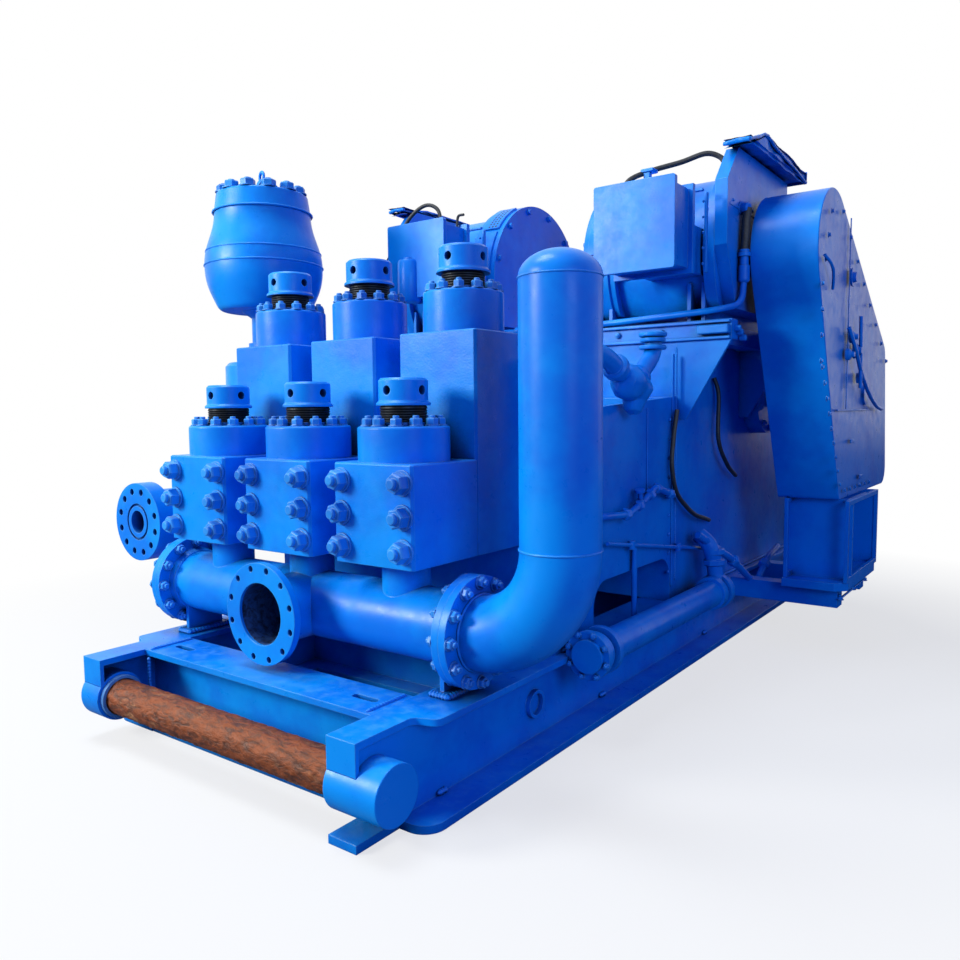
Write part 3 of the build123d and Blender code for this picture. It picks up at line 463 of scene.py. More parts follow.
class Shape:
    """A mesh in the making, in metres in the pump's frame."""

    def __init__(self) -> None:
        """Starts an empty mesh."""
        self.mesh = bmesh.new()

    def skin(self, rings: Sequence[Sequence[Vector]], capped: bool = True) -> None:
        """Joins rings of equally many points into a skin.

        Args:
            rings: closed rings, in order.
            capped: whether the first and last ring are filled.
        """
        made = [[self.mesh.verts.new(point) for point in ring] for ring in rings]
        count = len(made[0])
        for near, far in zip(made, made[1:]):
            for i in range(count):
                j = (i + 1) % count
                self.mesh.faces.new((near[i], near[j], far[j], far[i]))
        if capped:
            self.mesh.faces.new(list(reversed(made[0])))
            self.mesh.faces.new(made[-1])

    def turned(
        self, origin: Vector, axis: Vector, profile: Iterable[tuple[float, float]],
        sides: int = 24, turn: float = 0.0,
    ) -> None:
        """Adds a turned shape, or a prism when it has few sides.

        Args:
            origin: where the profile's distances start.
            axis: direction of the turning axis.
            profile: distance along the axis and radius, in order along the axis.
            sides: flats round the axis.
            turn: angle of the first corner, in radians.
        """
        along = Vector(axis).normalized()
        across = along.orthogonal().normalized()
        up = along.cross(across)
        spokes = [
            across * math.cos(turn + math.tau * i / sides)
            + up * math.sin(turn + math.tau * i / sides)
            for i in range(sides)
        ]
        rings = [
            [Vector(origin) + along * distance + spoke * radius for spoke in spokes]
            for distance, radius in profile
        ]
        self.skin(rings)

    def nut(
        self, origin: Vector, axis: Vector, across: float, height: float, stud: float,
        washer: bool = True, turn: float = 0.0,
    ) -> None:
        """Adds a heavy hex nut with its washer and the end of its stud.

        Args:
            origin: point on the seat under the nut.
            axis: direction in which the stud points.
            across: distance across the flats.
            height: height of the nut.
            stud: how far the stud stands out of the nut.
            washer: whether a round washer lies under the nut.
            turn: angle of the nut, in radians.
        """
        corner = across / math.sqrt(3)
        seat = 0.0
        if washer:
            seat = height * 0.16
            self.turned(origin, axis, [(0, across * 0.68), (seat, across * 0.68)], 20)
        chamfer = height * 0.14
        profile = [
            (seat, corner), (height - chamfer, corner), (height, corner * 0.86),
        ]
        self.turned(origin, axis, profile, 6, turn)
        if stud:
            reach = height + stud
            thread = across * 0.30
            profile = [(height, thread), (reach - thread * 0.2, thread), (reach, thread * 0.8)]
            self.turned(origin, axis, profile, 12)

    def block(self, low: Vector, high: Vector, edge: float = 0.003) -> None:
        """Adds a block with bevelled upright and level edges.

        Args:
            low: lowest corner.
            high: highest corner.
            edge: width of the bevel.
        """
        low, high = Vector(low), Vector(high)
        edge = min(edge, *((high - low) / 2.01))
        rings = []
        for height, inset in (
            (low.z, edge), (low.z + edge, 0.0), (high.z - edge, 0.0), (high.z, edge),
        ):
            x0, y0, x1, y1 = low.x + inset, low.y + inset, high.x - inset, high.y - inset
            cut = edge
            rings.append([
                Vector(point) for point in (
                    (x0 + cut, y0, height), (x1 - cut, y0, height), (x1, y0 + cut, height),
                    (x1, y1 - cut, height), (x1 - cut, y1, height), (x0 + cut, y1, height),
                    (x0, y1 - cut, height), (x0, y0 + cut, height),
                )
            ])
        self.skin(rings)

    def tube(
        self, path: Sequence[Vector], radius: float, sides: int = 14,
        swells: Sequence[float] | None = None,
    ) -> None:
        """Sweeps a round section along a path.

        Args:
            path: points along the middle of the tube.
            radius: outer radius.
            sides: flats round the tube.
            swells: radius at each point, where it varies.
        """
        points = [Vector(point) for point in path]
        rings = []
        up = None
        for i, point in enumerate(points):
            ahead = points[min(i + 1, len(points) - 1)] - points[max(i - 1, 0)]
            along = ahead.normalized()
            if up is None:
                up = along.orthogonal().normalized()
            up = (up - along * up.dot(along)).normalized()
            across = along.cross(up)
            rings.append([
                point
                + (up * math.cos(math.tau * k / sides) + across * math.sin(math.tau * k / sides))
                * (swells[i] if swells else radius)
                for k in range(sides)
            ])
        self.skin(rings)

    def hoop(
        self, centre: Vector, axis: Vector, radius: float, thickness: float, sides: int = 56,
        ripple: float = 0.12,
    ) -> None:
        """Adds a weld bead or cord that runs right round.

        Args:
            centre: middle of the hoop.
            axis: the hoop's axis.
            radius: radius to the middle of the bead.
            thickness: half the bead's width.
            sides: steps round the hoop.
            ripple: how unevenly the bead is laid, as a share of its thickness.
        """
        along = Vector(axis).normalized()
        rings = []
        for index, point in enumerate(ring(centre, axis, radius, sides)):
            outward = (point - Vector(centre)).normalized()
            swell = thickness * (1 + ripple * math.sin(2.4 * index))
            rings.append([
                point + (outward * math.cos(math.tau * k / 8) + along * math.sin(math.tau * k / 8))
                * swell
                for k in range(8)
            ])
        rings.append(rings[0])
        self.skin(rings, capped=False)
        bmesh.ops.remove_doubles(self.mesh, verts=self.mesh.verts, dist=1e-6)

    def bead(self, path: Sequence[Vector], thickness: float, pitch: float) -> None:
        """Adds an open weld bead with the ripples of its passes.

        Args:
            path: the bead's line.
            thickness: half its width.
            pitch: distance between ripples.
        """
        points = resampled(path, pitch / 2)
        swells = [thickness * (1.0 + 0.16 * (-1) ** i) for i in range(len(points))]
        swells[0] = swells[-1] = thickness * 0.5
        self.tube(points, thickness, sides=8, swells=swells)

    def pipe_wall(
        self, origin: Vector, axis: Vector, outer: float, inner: float, length: float,
        sides: int = 32,
    ) -> None:
        """Adds a thin open tube.

        Args:
            origin: middle of its first end.
            axis: direction of the tube.
            outer: outer radius.
            inner: inner radius.
            length: its length.
            sides: flats round it.
        """
        along = Vector(axis).normalized()
        rings = [
            ring(Vector(origin) + along * distance, axis, radius, sides)
            for distance, radius in ((0, outer), (length, outer), (length, inner), (0, inner))
        ]
        rings.append(rings[0])
        self.skin(rings, capped=False)
        bmesh.ops.remove_doubles(self.mesh, verts=self.mesh.verts, dist=1e-6)

    def crumple(self, depth: float, frequency: float) -> None:
        """Pushes the points in and out, as wrinkled cloth or dented sheet is.

        Args:
            depth: greatest push, in metres.
            frequency: wrinkles per metre.
        """
        for vert in self.mesh.verts:
            vert.co += noise.noise_vector(vert.co * frequency) * depth

    def finish(self, name: str, material: bpy.types.Material) -> bpy.types.Object:
        """Turns the mesh into a piece that rides with the pump.

        Args:
            name: the piece's name.
            material: its finish.

        Returns:
            The new object.
        """
        bmesh.ops.recalc_face_normals(self.mesh, faces=self.mesh.faces)
        data = bpy.data.meshes.new(name)
        self.mesh.to_mesh(data)
        self.mesh.free()
        data.materials.append(material)
        data.polygons.foreach_set("use_smooth", [True] * len(data.polygons))
        data.set_sharp_from_angle(angle=math.radians(32))
        piece = bpy.data.objects.new(name, data)
        bpy.context.scene.collection.objects.link(piece)
        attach(piece, "root")
        log.info("built %s with %d faces", name, len(data.polygons))
        return piece


def dress(nodes: Iterable[str], material: bpy.types.Material) -> None:
    """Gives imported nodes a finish.

    Args:
        nodes: names of the nodes.
        material: the finish.
    """
    for node in nodes:
        for place in frame["nodes"][node].material_slots:
            place.material = material


def ring(
    centre: Vector, axis: Vector, radius: float, count: int, start: float = 0.0
) -> list[Vector]:
    """Points spaced evenly on a circle.

    Args:
        centre: the circle's centre.
        axis: its axis.
        radius: its radius.
        count: how many points.
        start: angle of the first point, in radians.

    Returns:
        The points.
    """
    along = Vector(axis).normalized()
    across = along.orthogonal().normalized()
    up = along.cross(across)
    return [
        Vector(centre) + (across * math.cos(start + math.tau * i / count)
                          + up * math.sin(start + math.tau * i / count)) * radius
        for i in range(count)
    ]


def resampled(path: Sequence[Vector], step: float) -> list[Vector]:
    """Spaces points evenly along a line.

    Args:
        path: the line's corners.
        step: wanted spacing.

    Returns:
        Points from the first corner to the last.
    """
    corners = [Vector(point) for point in path]
    lengths = [(b - a).length for a, b in zip(corners, corners[1:])]
    total = sum(lengths)
    count = max(2, round(total / step))
    points = []
    for index in range(count + 1):
        left = total * index / count
        for start, end, length in zip(corners, corners[1:], lengths):
            if left <= length + 1e-9:
                points.append(start.lerp(end, left / length))
                break
            left -= length
    return points


def eased(corners: Sequence[Vector], radius: float, steps: int = 6) -> list[Vector]:
    """Rounds the corners of a bent pipe's line.

    Args:
        corners: the line's corners.
        radius: distance from a corner at which the bend starts.
        steps: points in each bend.

    Returns:
        The line with its bends.
    """
    corners = [Vector(point) for point in corners]
    line = [corners[0]]
    for before, corner, after in zip(corners, corners[1:], corners[2:]):
        reach = min(radius, (corner - before).length / 2, (after - corner).length / 2)
        start = corner + (before - corner).normalized() * reach
        end = corner + (after - corner).normalized() * reach
        for step in range(steps + 1):
            share = step / steps
            first = start.lerp(corner, share)
            line.append(first.lerp(corner.lerp(end, share), share))
    line.append(corners[-1])
    return line


def hanging(points: Sequence[Vector], steps: int = 10) -> list[Vector]:
    """Draws a hose's smooth line through its points.

    Args:
        points: where the hose passes.
        steps: points between each two.

    Returns:
        The smooth line.
    """
    knots = [Vector(point) for point in points]
    knots = [knots[0] * 2 - knots[1], *knots, knots[-1] * 2 - knots[-2]]
    line = []
    for a, b, c, d in zip(knots, knots[1:], knots[2:], knots[3:]):
        for step in range(steps):
            t = step / steps
            line.append(
                0.5 * (2 * b + (c - a) * t + (2 * a - 5 * b + 4 * c - d) * t * t
                       + (3 * b - a - 3 * c + d) * t ** 3)
            )
    line.append(knots[-2])
    return line


# ---------------------------------------------------------------- sub-assemblies


@dataclass(frozen=True)
class StudRing:
    """Nuts on a bolt circle."""

    centre: Vector
    axis: Vector
    radius: float
    count: int
    across: float
    height: float
    stud: float
    start: float = 0.0

    def add_to(self, shape: Shape) -> None:
        """Adds the nuts, each turned a little differently, as a spanner leaves them."""
        places = ring(self.centre, self.axis, self.radius, self.count, self.start)
        for index, place in enumerate(places):
            turn = 0.7 * index
            shape.nut(place, self.axis, self.across, self.height, self.stud, turn=turn)


@dataclass(frozen=True)
class Run:
    """A pipe, rod, hose or cable, laid out from a corner of the pump.

    A run with a bend is a bent pipe or a straight rod. One without hangs in a smooth line.
    """

    points: tuple[Point, ...]
    radius: float
    bend: float = 0.0
    sides: int = 12
    steps: int = 10

    def add_to(self, shape: Shape, corner: Vector) -> None:
        """Lays the run.

        Args:
            shape: mesh that takes it.
            corner: where its points are measured from.
        """
        places = [corner + Vector(point) for point in self.points]
        line = eased(places, self.bend) if self.bend else hanging(places, self.steps)
        shape.tube(line, self.radius, self.sides)


@dataclass(frozen=True)
class Collar:
    """A turned or hexagonal fitting on a run: a union, nut, flange, plug or boss."""

    place: Point
    way: Point
    profile: tuple[tuple[float, float], ...]
    sides: int = 12

    def add_to(self, shape: Shape, corner: Vector) -> None:
        """Sets the fitting.

        Args:
            shape: mesh that takes it.
            corner: where its place is measured from.
        """
        shape.turned(corner + Vector(self.place), Vector(self.way), self.profile, self.sides)


def union(place: Point, way: Point, size: float, length: float = 0.034) -> Collar:
    """Describes a hexagonal union nut with chamfered ends.

    Args:
        place: middle of its first end.
        way: direction of its axis.
        size: radius at its corners.
        length: its length.

    Returns:
        The fitting.
    """
    chamfer = 0.006
    return Collar(place, way, (
        (0, size * 0.8), (chamfer, size), (length - chamfer, size), (length, size * 0.8),
    ), 6)


@dataclass
class FluidEndFittings:
    """Nuts, studs and threads of the six forged modules."""

    block_height: float = 0.371
    column_offset: float = 0.150
    row_inset: float = 0.064
    row_count: int = 3
    front_across: float = 0.068
    front_height: float = 0.050
    front_stud: float = 0.018
    cover_nuts: int = 12
    cover_nut_radius: float = 0.137
    cover_across: float = 0.040
    cover_height: float = 0.030
    neck_radius: float = 0.084
    neck_base: float = 0.014
    neck_height: float = 0.076
    thread_pitch: float = 0.0095
    thread_depth: float = 0.005

    sides = ("left", "middle", "right")

    def build(self) -> None:
        """Makes the front nuts, the cover nuts and the cover threads."""
        self.front_nuts()
        self.cover_rings()
        self.threads()

    def front_nuts(self) -> None:
        """Sets two columns of heavy nuts on the front of each suction module."""
        shape = Shape()
        for side in self.sides:
            module = Extent.of(f"suction_module_{side}")
            low = module.low.z + self.row_inset
            pitch = (self.block_height - 2 * self.row_inset) / (self.row_count - 1)
            for column in (-1, 1):
                x = module.middle.x + column * self.column_offset
                for row in range(self.row_count):
                    seat = Vector((x, module.low.y, low + row * pitch))
                    turn = 0.5 * row + column
                    shape.nut(
                        seat, Vector((0, -1, 0)), self.front_across, self.front_height,
                        self.front_stud, turn=turn,
                    )
        shape.finish("module_front_nuts", NUTS)

    def cover_rings(self) -> None:
        """Sets a ring of studs and nuts round each valve cover."""
        shape = Shape()
        for tier in ("suction", "discharge"):
            for side in self.sides:
                cover = Extent.of(f"{tier}_valve_cover_{side}")
                seat = Vector((cover.middle.x, cover.middle.y, cover.low.z))
                StudRing(
                    seat, Vector((0, 0, 1)), self.cover_nut_radius, self.cover_nuts,
                    self.cover_across, self.cover_height, 0.010,
                    start=math.pi / self.cover_nuts,
                ).add_to(shape)
        shape.finish("valve_cover_nuts", NUTS)

    def threads(self) -> None:
        """Cuts the oiled buttress thread that shows under each plug; its near-black steel is
        partly painted shade under the plug.
        """
        shape = Shape()
        for tier in ("suction", "discharge"):
            for side in self.sides:
                cover = Extent.of(f"{tier}_valve_cover_{side}")
                foot = Vector((cover.middle.x, cover.middle.y, cover.low.z))
                profile = []
                height = self.neck_base
                while height < self.neck_height - self.thread_pitch:
                    profile.append((height, self.neck_radius + 0.001))
                    profile.append((height + self.thread_pitch * 0.4,
                                    self.neck_radius + self.thread_depth))
                    profile.append((height + self.thread_pitch * 0.7,
                                    self.neck_radius + self.thread_depth))
                    height += self.thread_pitch
                profile.append((self.neck_height, self.neck_radius + 0.001))
                shape.turned(foot, Vector((0, 0, 1)), profile, 40)
        shape.finish("valve_cover_threads", THREAD_AND_SHADE)


@dataclass
class SuctionFittings:
    """Bolting, welds and linings of the suction manifold and the standpipe."""

    bolt_circle: float = 0.362
    bolt_count: int = 12
    nut_across: float = 0.0365
    nut_height: float = 0.022
    stud: float = 0.012
    flange: float = 0.0302
    pipe: float = 0.1365
    wall: float = 0.0127
    bead: float = 0.007
    elbow_radius: float = 0.328
    dome: float = 0.092

    def build(self) -> None:
        """Makes the nuts, the beads and the mottled lining."""
        self.joints()
        self.beads()
        self.lining()
        self.saddle_welds()

    def joints(self) -> None:
        """Bolts up both end joints of the manifold, with nuts on both faces."""
        shape = Shape()
        manifold = Extent.of("suction_manifold")
        blind = Extent.of("suction_blind_flange")
        level = blind.middle.z
        depth = blind.middle.y
        for end in (-1, 1):
            face = manifold.high.x if end > 0 else manifold.low.x
            for offset, way in ((self.flange, end), (-self.flange, -end)):
                centre = Vector((face + end * offset, depth, level))
                StudRing(
                    centre, Vector((way, 0, 0)), self.bolt_circle / 2, self.bolt_count,
                    self.nut_across, self.nut_height, self.stud,
                    start=math.pi / self.bolt_count,
                ).add_to(shape)
        shape.finish("flange_nuts", NUTS)

    def beads(self) -> None:
        """Lays the weld beads at the hubs, the inlet neck, the elbow and the dome."""
        shape = Shape()
        manifold = Extent.of("suction_manifold")
        blind = Extent.of("suction_blind_flange")
        pipe = Extent.of("suction_stabilizer")
        level, depth = blind.middle.z, blind.middle.y
        for end in (-1, 1):
            face = manifold.high.x if end > 0 else manifold.low.x
            centre = Vector((face - end * (self.flange + 0.026), depth, level))
            shape.hoop(centre, Vector((1, 0, 0)), self.pipe, self.bead)
        top_x = pipe.high.x - self.pipe
        elbow_end = Vector((top_x - self.elbow_radius, depth, level))
        shape.hoop(elbow_end, Vector((1, 0, 0)), self.pipe, self.bead * 0.8)
        rise = level + self.elbow_radius
        shape.hoop(Vector((top_x, depth, rise)), Vector((0, 0, 1)), self.pipe, self.bead * 0.6)
        seam = pipe.high.z - self.dome
        shape.hoop(Vector((top_x, depth, seam)), Vector((0, 0, 1)), self.pipe, self.bead * 0.5)
        shape.finish("suction_weld_beads", PIPE)

    def lining(self) -> None:
        """Lines the inlet neck with mottled blue paint and dirt, whose pale patches are partly a
        painted reflection.
        """
        shape = Shape()
        manifold = Extent.of("suction_manifold")
        blind = Extent.of("suction_blind_flange")
        bore = self.pipe - self.wall
        start = Vector((0, manifold.low.y + 0.012, blind.middle.z))
        depth = blind.middle.y - manifold.low.y - 0.1
        shape.pipe_wall(start, Vector((0, 1, 0)), bore - 0.0005, bore - 0.003, depth, 40)
        shape.finish("inlet_lining", BORE_AND_REFLECTIONS)

    def saddle_welds(self) -> None:
        """Heaps weld metal round the feet of both saddles."""
        shape = Shape()
        feet = Extent.of("manifold_saddles")
        for end in (-1, 1):
            x = end * (feet.high.x - 0.035)
            for side in (-1, 1):
                y = feet.middle.y + side * feet.size.y * 0.5
                path = [Vector((x + step * 0.012, y, feet.low.z + 0.008)) for step in range(-4, 5)]
                shape.bead(path, 0.013, 0.014)
            for side in (-1, 1):
                path = [
                    Vector((x + side * 0.038, feet.low.y + feet.size.y * step / 12,
                            feet.low.z + 0.008))
                    for step in range(13)
                ]
                shape.bead(path, 0.012, 0.016)
        shape.finish("saddle_welds", CASTING)


@dataclass
class DampenerFittings:
    """Lid nuts and shell welds of the pulsation dampener."""

    nut_count: int = 12
    nut_circle: float = 0.203
    nut_across: float = 0.070
    nut_height: float = 0.040
    eye_radius: float = 0.027
    eye_thickness: float = 0.0085
    waist: float = 0.243
    waist_radius: float = 0.3175
    bead: float = 0.006

    def build(self) -> None:
        """Makes the lid nuts and the beads."""
        lid = Extent.of("dampener_lid")
        body = Extent.of("dampener_body")
        cap_top = body.high.z + 0.101
        lid_top = Vector((lid.middle.x, lid.middle.y, lid.high.z))
        nuts = Shape()
        StudRing(
            Vector((lid.middle.x, lid.middle.y, cap_top)), Vector((0, 0, 1)), self.nut_circle,
            self.nut_count, self.nut_across, self.nut_height, 0.008,
            start=math.pi / self.nut_count,
        ).add_to(nuts)
        nuts.finish("dampener_lid_nuts", NUTS)
        eye = Shape()
        eye.hoop(
            lid_top + Vector((0, 0, self.eye_radius * 0.6)), Vector((0.3, 1, 0)),
            self.eye_radius, self.eye_thickness, sides=28, ripple=0.0,
        )
        eye.finish("dampener_lifting_ring", CASTING)
        welds = Shape()
        for rise, radius in ((self.waist, self.waist_radius), (self.waist + 0.075, 0.3075),
                             (body.size.z, 0.2655)):
            centre = Vector((body.middle.x, body.middle.y, body.low.z + rise))
            welds.hoop(centre, Vector((0, 0, 1)), radius, self.bead, sides=72)
        welds.finish("dampener_weld_beads", CASTING)


@dataclass
class MotorFittings:
    """Covers, bolts and cables of both drive motors."""

    radius: float = 0.500
    bell: float = 0.190
    face_bolts: int = 12
    face_inset: float = 0.034
    cap_radius: float = 0.125
    cap_height: float = 0.028
    bolt_across: float = 0.030
    bolt_height: float = 0.018
    cover_thickness: float = 0.012
    screen_rows: int = 9
    screen_columns: int = 3
    screen_pitch: float = 0.024
    cap_boss: float = 0.045
    rim_bolts: int = 16
    rim_inset: float = 0.018
    cover_spans: tuple[tuple[float, float], ...] = ((0.10, 0.60), (0.66, 1.15), (-0.62, -0.10))
    cover_steps: int = 12
    cover_edges: tuple[float, float] = (0.03, 0.16)
    cover_slope: float = 0.004
    screen_start: float = 0.69
    screen_inset: float = 0.06
    screen_hole: float = 0.0075
    left_loop: Run = Run((
        (-0.16, 0.12, -0.22), (-0.06, 0.12, -0.10), (0.04, 0.14, 0.06), (0.15, 0.16, 0.13),
        (0.23, 0.18, 0.10), (0.26, 0.18, -0.005),
    ), 0.011, sides=10)
    left_hook: Run = Run((
        (-0.06, 0.2, -0.01), (-0.05, 0.2, 0.045), (-0.01, 0.2, 0.05),
    ), 0.0077, sides=8)
    right_cable_start: tuple[Point, ...] = (
        (0.02, -0.02, -0.004), (0.03, 0.06, 0.10), (0.09, 0.20, 0.17), (0.22, 0.27, 0.205),
    )
    right_cable_end: tuple[Point, ...] = (
        (-0.09, 0.10, 0.235), (-0.02, 0.12, 0.21), (0.01, 0.12, 0.165),
    )
    right_cable_radius: float = 0.01375
    clip_plates: tuple[tuple[Point, Point], ...] = (
        ((0.07, 0.14, -0.002), (0.105, 0.17, 0.15)),
        ((0.055, 0.135, 0.15), (0.125, 0.20, 0.168)),
    )
    bottle: Collar = Collar((0.15, 0.012, -0.44), (0, 0, 1), (
        (0, 0.058), (0.02, 0.066), (0.22, 0.066), (0.235, 0.058), (0.235, 0.03), (0.25, 0.03),
    ), 28)

    def build(self) -> None:
        """Makes the end faces, the covers and the cables."""
        self.end_faces()
        self.covers()
        self.cables()

    def end_faces(self) -> None:
        """Bolts each bell and sets a bearing cap in its middle."""
        shape = Shape()
        for side in ("left", "right"):
            motor = Extent.of(f"motor_{side}")
            way = 1 if side == "right" else -1
            face = motor.low.x if side == "right" else motor.high.x
            centre = Vector((face, motor.middle.y, motor.high.z - self.radius))
            axis = Vector((-way, 0, 0))
            StudRing(
                centre, axis, self.radius - self.face_inset, self.face_bolts,
                self.bolt_across, self.bolt_height, 0.0,
            ).add_to(shape)
            shape.turned(centre, axis, [
                (0, self.cap_radius * 1.25), (self.cap_height * 0.5, self.cap_radius * 1.25),
                (self.cap_height * 0.5, self.cap_radius),
                (self.cap_height, self.cap_radius * 0.94), (self.cap_height, self.cap_boss),
                (self.cap_height * 1.3, self.cap_boss - 0.007),
            ], 40)
            rim = centre + Vector((way * self.bell, 0, 0))
            places = ring(rim, axis, self.radius - self.rim_inset, self.rim_bolts, 0.2)
            for index, place in enumerate(places):
                if place.z > motor.low.z + 0.1:
                    shape.nut(place, Vector((way, 0, 0)), 0.024, 0.014, 0.006, turn=index)
        shape.finish("motor_end_fittings", CASTING)

    def covers(self) -> None:
        """Hangs a cover plate and a screen on the front of each bell; the screen's holes are
        near-black discs of painted shade.
        """
        plates = Shape()
        hole_shade = Shape()
        for side in ("left", "right"):
            motor = Extent.of(f"motor_{side}")
            way = 1 if side == "right" else -1
            face = motor.low.x if side == "right" else motor.high.x
            level = motor.high.z - self.radius
            near, far = self.cover_edges
            under, over = self.radius - 0.001, self.radius + self.cover_thickness
            for start, end in self.cover_spans:
                sections = []
                for step in range(self.cover_steps + 1):
                    angle = start + (end - start) * step / self.cover_steps
                    out = Vector((0, -math.cos(angle), math.sin(angle)))
                    foot = Vector((face, motor.middle.y, level))
                    sections.append([
                        foot + out * reach + Vector((way * along, 0, 0))
                        for reach, along in (
                            (under, near), (over, near + self.cover_slope),
                            (over, far - self.cover_slope), (under, far),
                        )
                    ])
                plates.skin(sections)
            # painted shade: each hole is a thin near-black disc on the cover, not an opening
            for row in range(self.screen_rows):
                for column in range(self.screen_columns):
                    angle = self.screen_start + row * self.screen_pitch / self.radius
                    out = Vector((0, -math.cos(angle), math.sin(angle)))
                    x = face + way * (self.screen_inset + column * self.screen_pitch)
                    seat = Vector((x, motor.middle.y, level)) + out * (
                        self.radius + self.cover_thickness - 0.001
                    )
                    hole_shade.turned(
                        seat, out, [(0, self.screen_hole), (0.0016, self.screen_hole - 0.0005)], 10
                    )
        plates.finish("motor_covers", SHEET)
        hole_shade.finish("motor_screen_hole_shade", HOLE_SHADE)

    def cables(self) -> None:
        """Hangs the loops of cable over the terminal boxes and sets their clips."""
        left = Extent.of("terminal_box_left")
        right = Extent.of("terminal_box_right")
        duct = Extent.of("air_duct_right")
        shape = Shape()
        self.left_loop.add_to(shape, Vector((left.low.x, left.low.y, left.high.z)))
        self.left_hook.add_to(shape, Vector((left.high.x, left.low.y, left.high.z)))
        start = Vector((right.low.x, right.middle.y, right.high.z))
        end = Vector((duct.low.x, duct.low.y, right.high.z))
        shape.tube(hanging(
            [start + Vector(point) for point in self.right_cable_start]
            + [end + Vector(point) for point in self.right_cable_end]
        ), self.right_cable_radius, 10)
        shape.finish("motor_cables", HOSE)
        clips = Shape()
        for low, high in self.clip_plates:
            clips.block(start + Vector(low), start + Vector(high), 0.003)
        self.bottle.add_to(clips, Vector((left.low.x, left.low.y, left.high.z)))
        clips.finish("cable_clips", CASTING)


@dataclass
class BoxFittings:
    """Rear flanges and cover screws of the terminal boxes."""

    rim: float = 0.012
    screw: float = 0.008

    def build(self) -> None:
        """Makes the rear flanges and their screws."""
        shape = Shape()
        for side in ("left", "right"):
            box = Extent.of(f"terminal_box_{side}")
            back = box.low.y + 0.385
            for x0, x1, z0, z1 in (
                (box.high.x - 0.002, box.high.x + self.rim, box.low.z + 0.02, box.high.z - 0.01),
                (box.low.x - self.rim, box.low.x + 0.002, box.low.z + 0.02, box.high.z - 0.01),
                (box.low.x + 0.01, box.high.x - 0.01, box.high.z - 0.002, box.high.z + self.rim),
            ):
                shape.block(Vector((x0, back - 0.022, z0)), Vector((x1, back, z1)), 0.003)
            for row in range(5):
                z = box.low.z + 0.06 + row * (box.size.z - 0.12) / 4
                for x, way in ((box.high.x, 1), (box.low.x, -1)):
                    shape.turned(Vector((x, back - 0.045, z)), Vector((way, 0, 0)),
                                 [(0, self.screw), (0.005, self.screw * 0.9), (0.008, 0.003)], 10)
        shape.finish("terminal_box_flanges", SHEET)


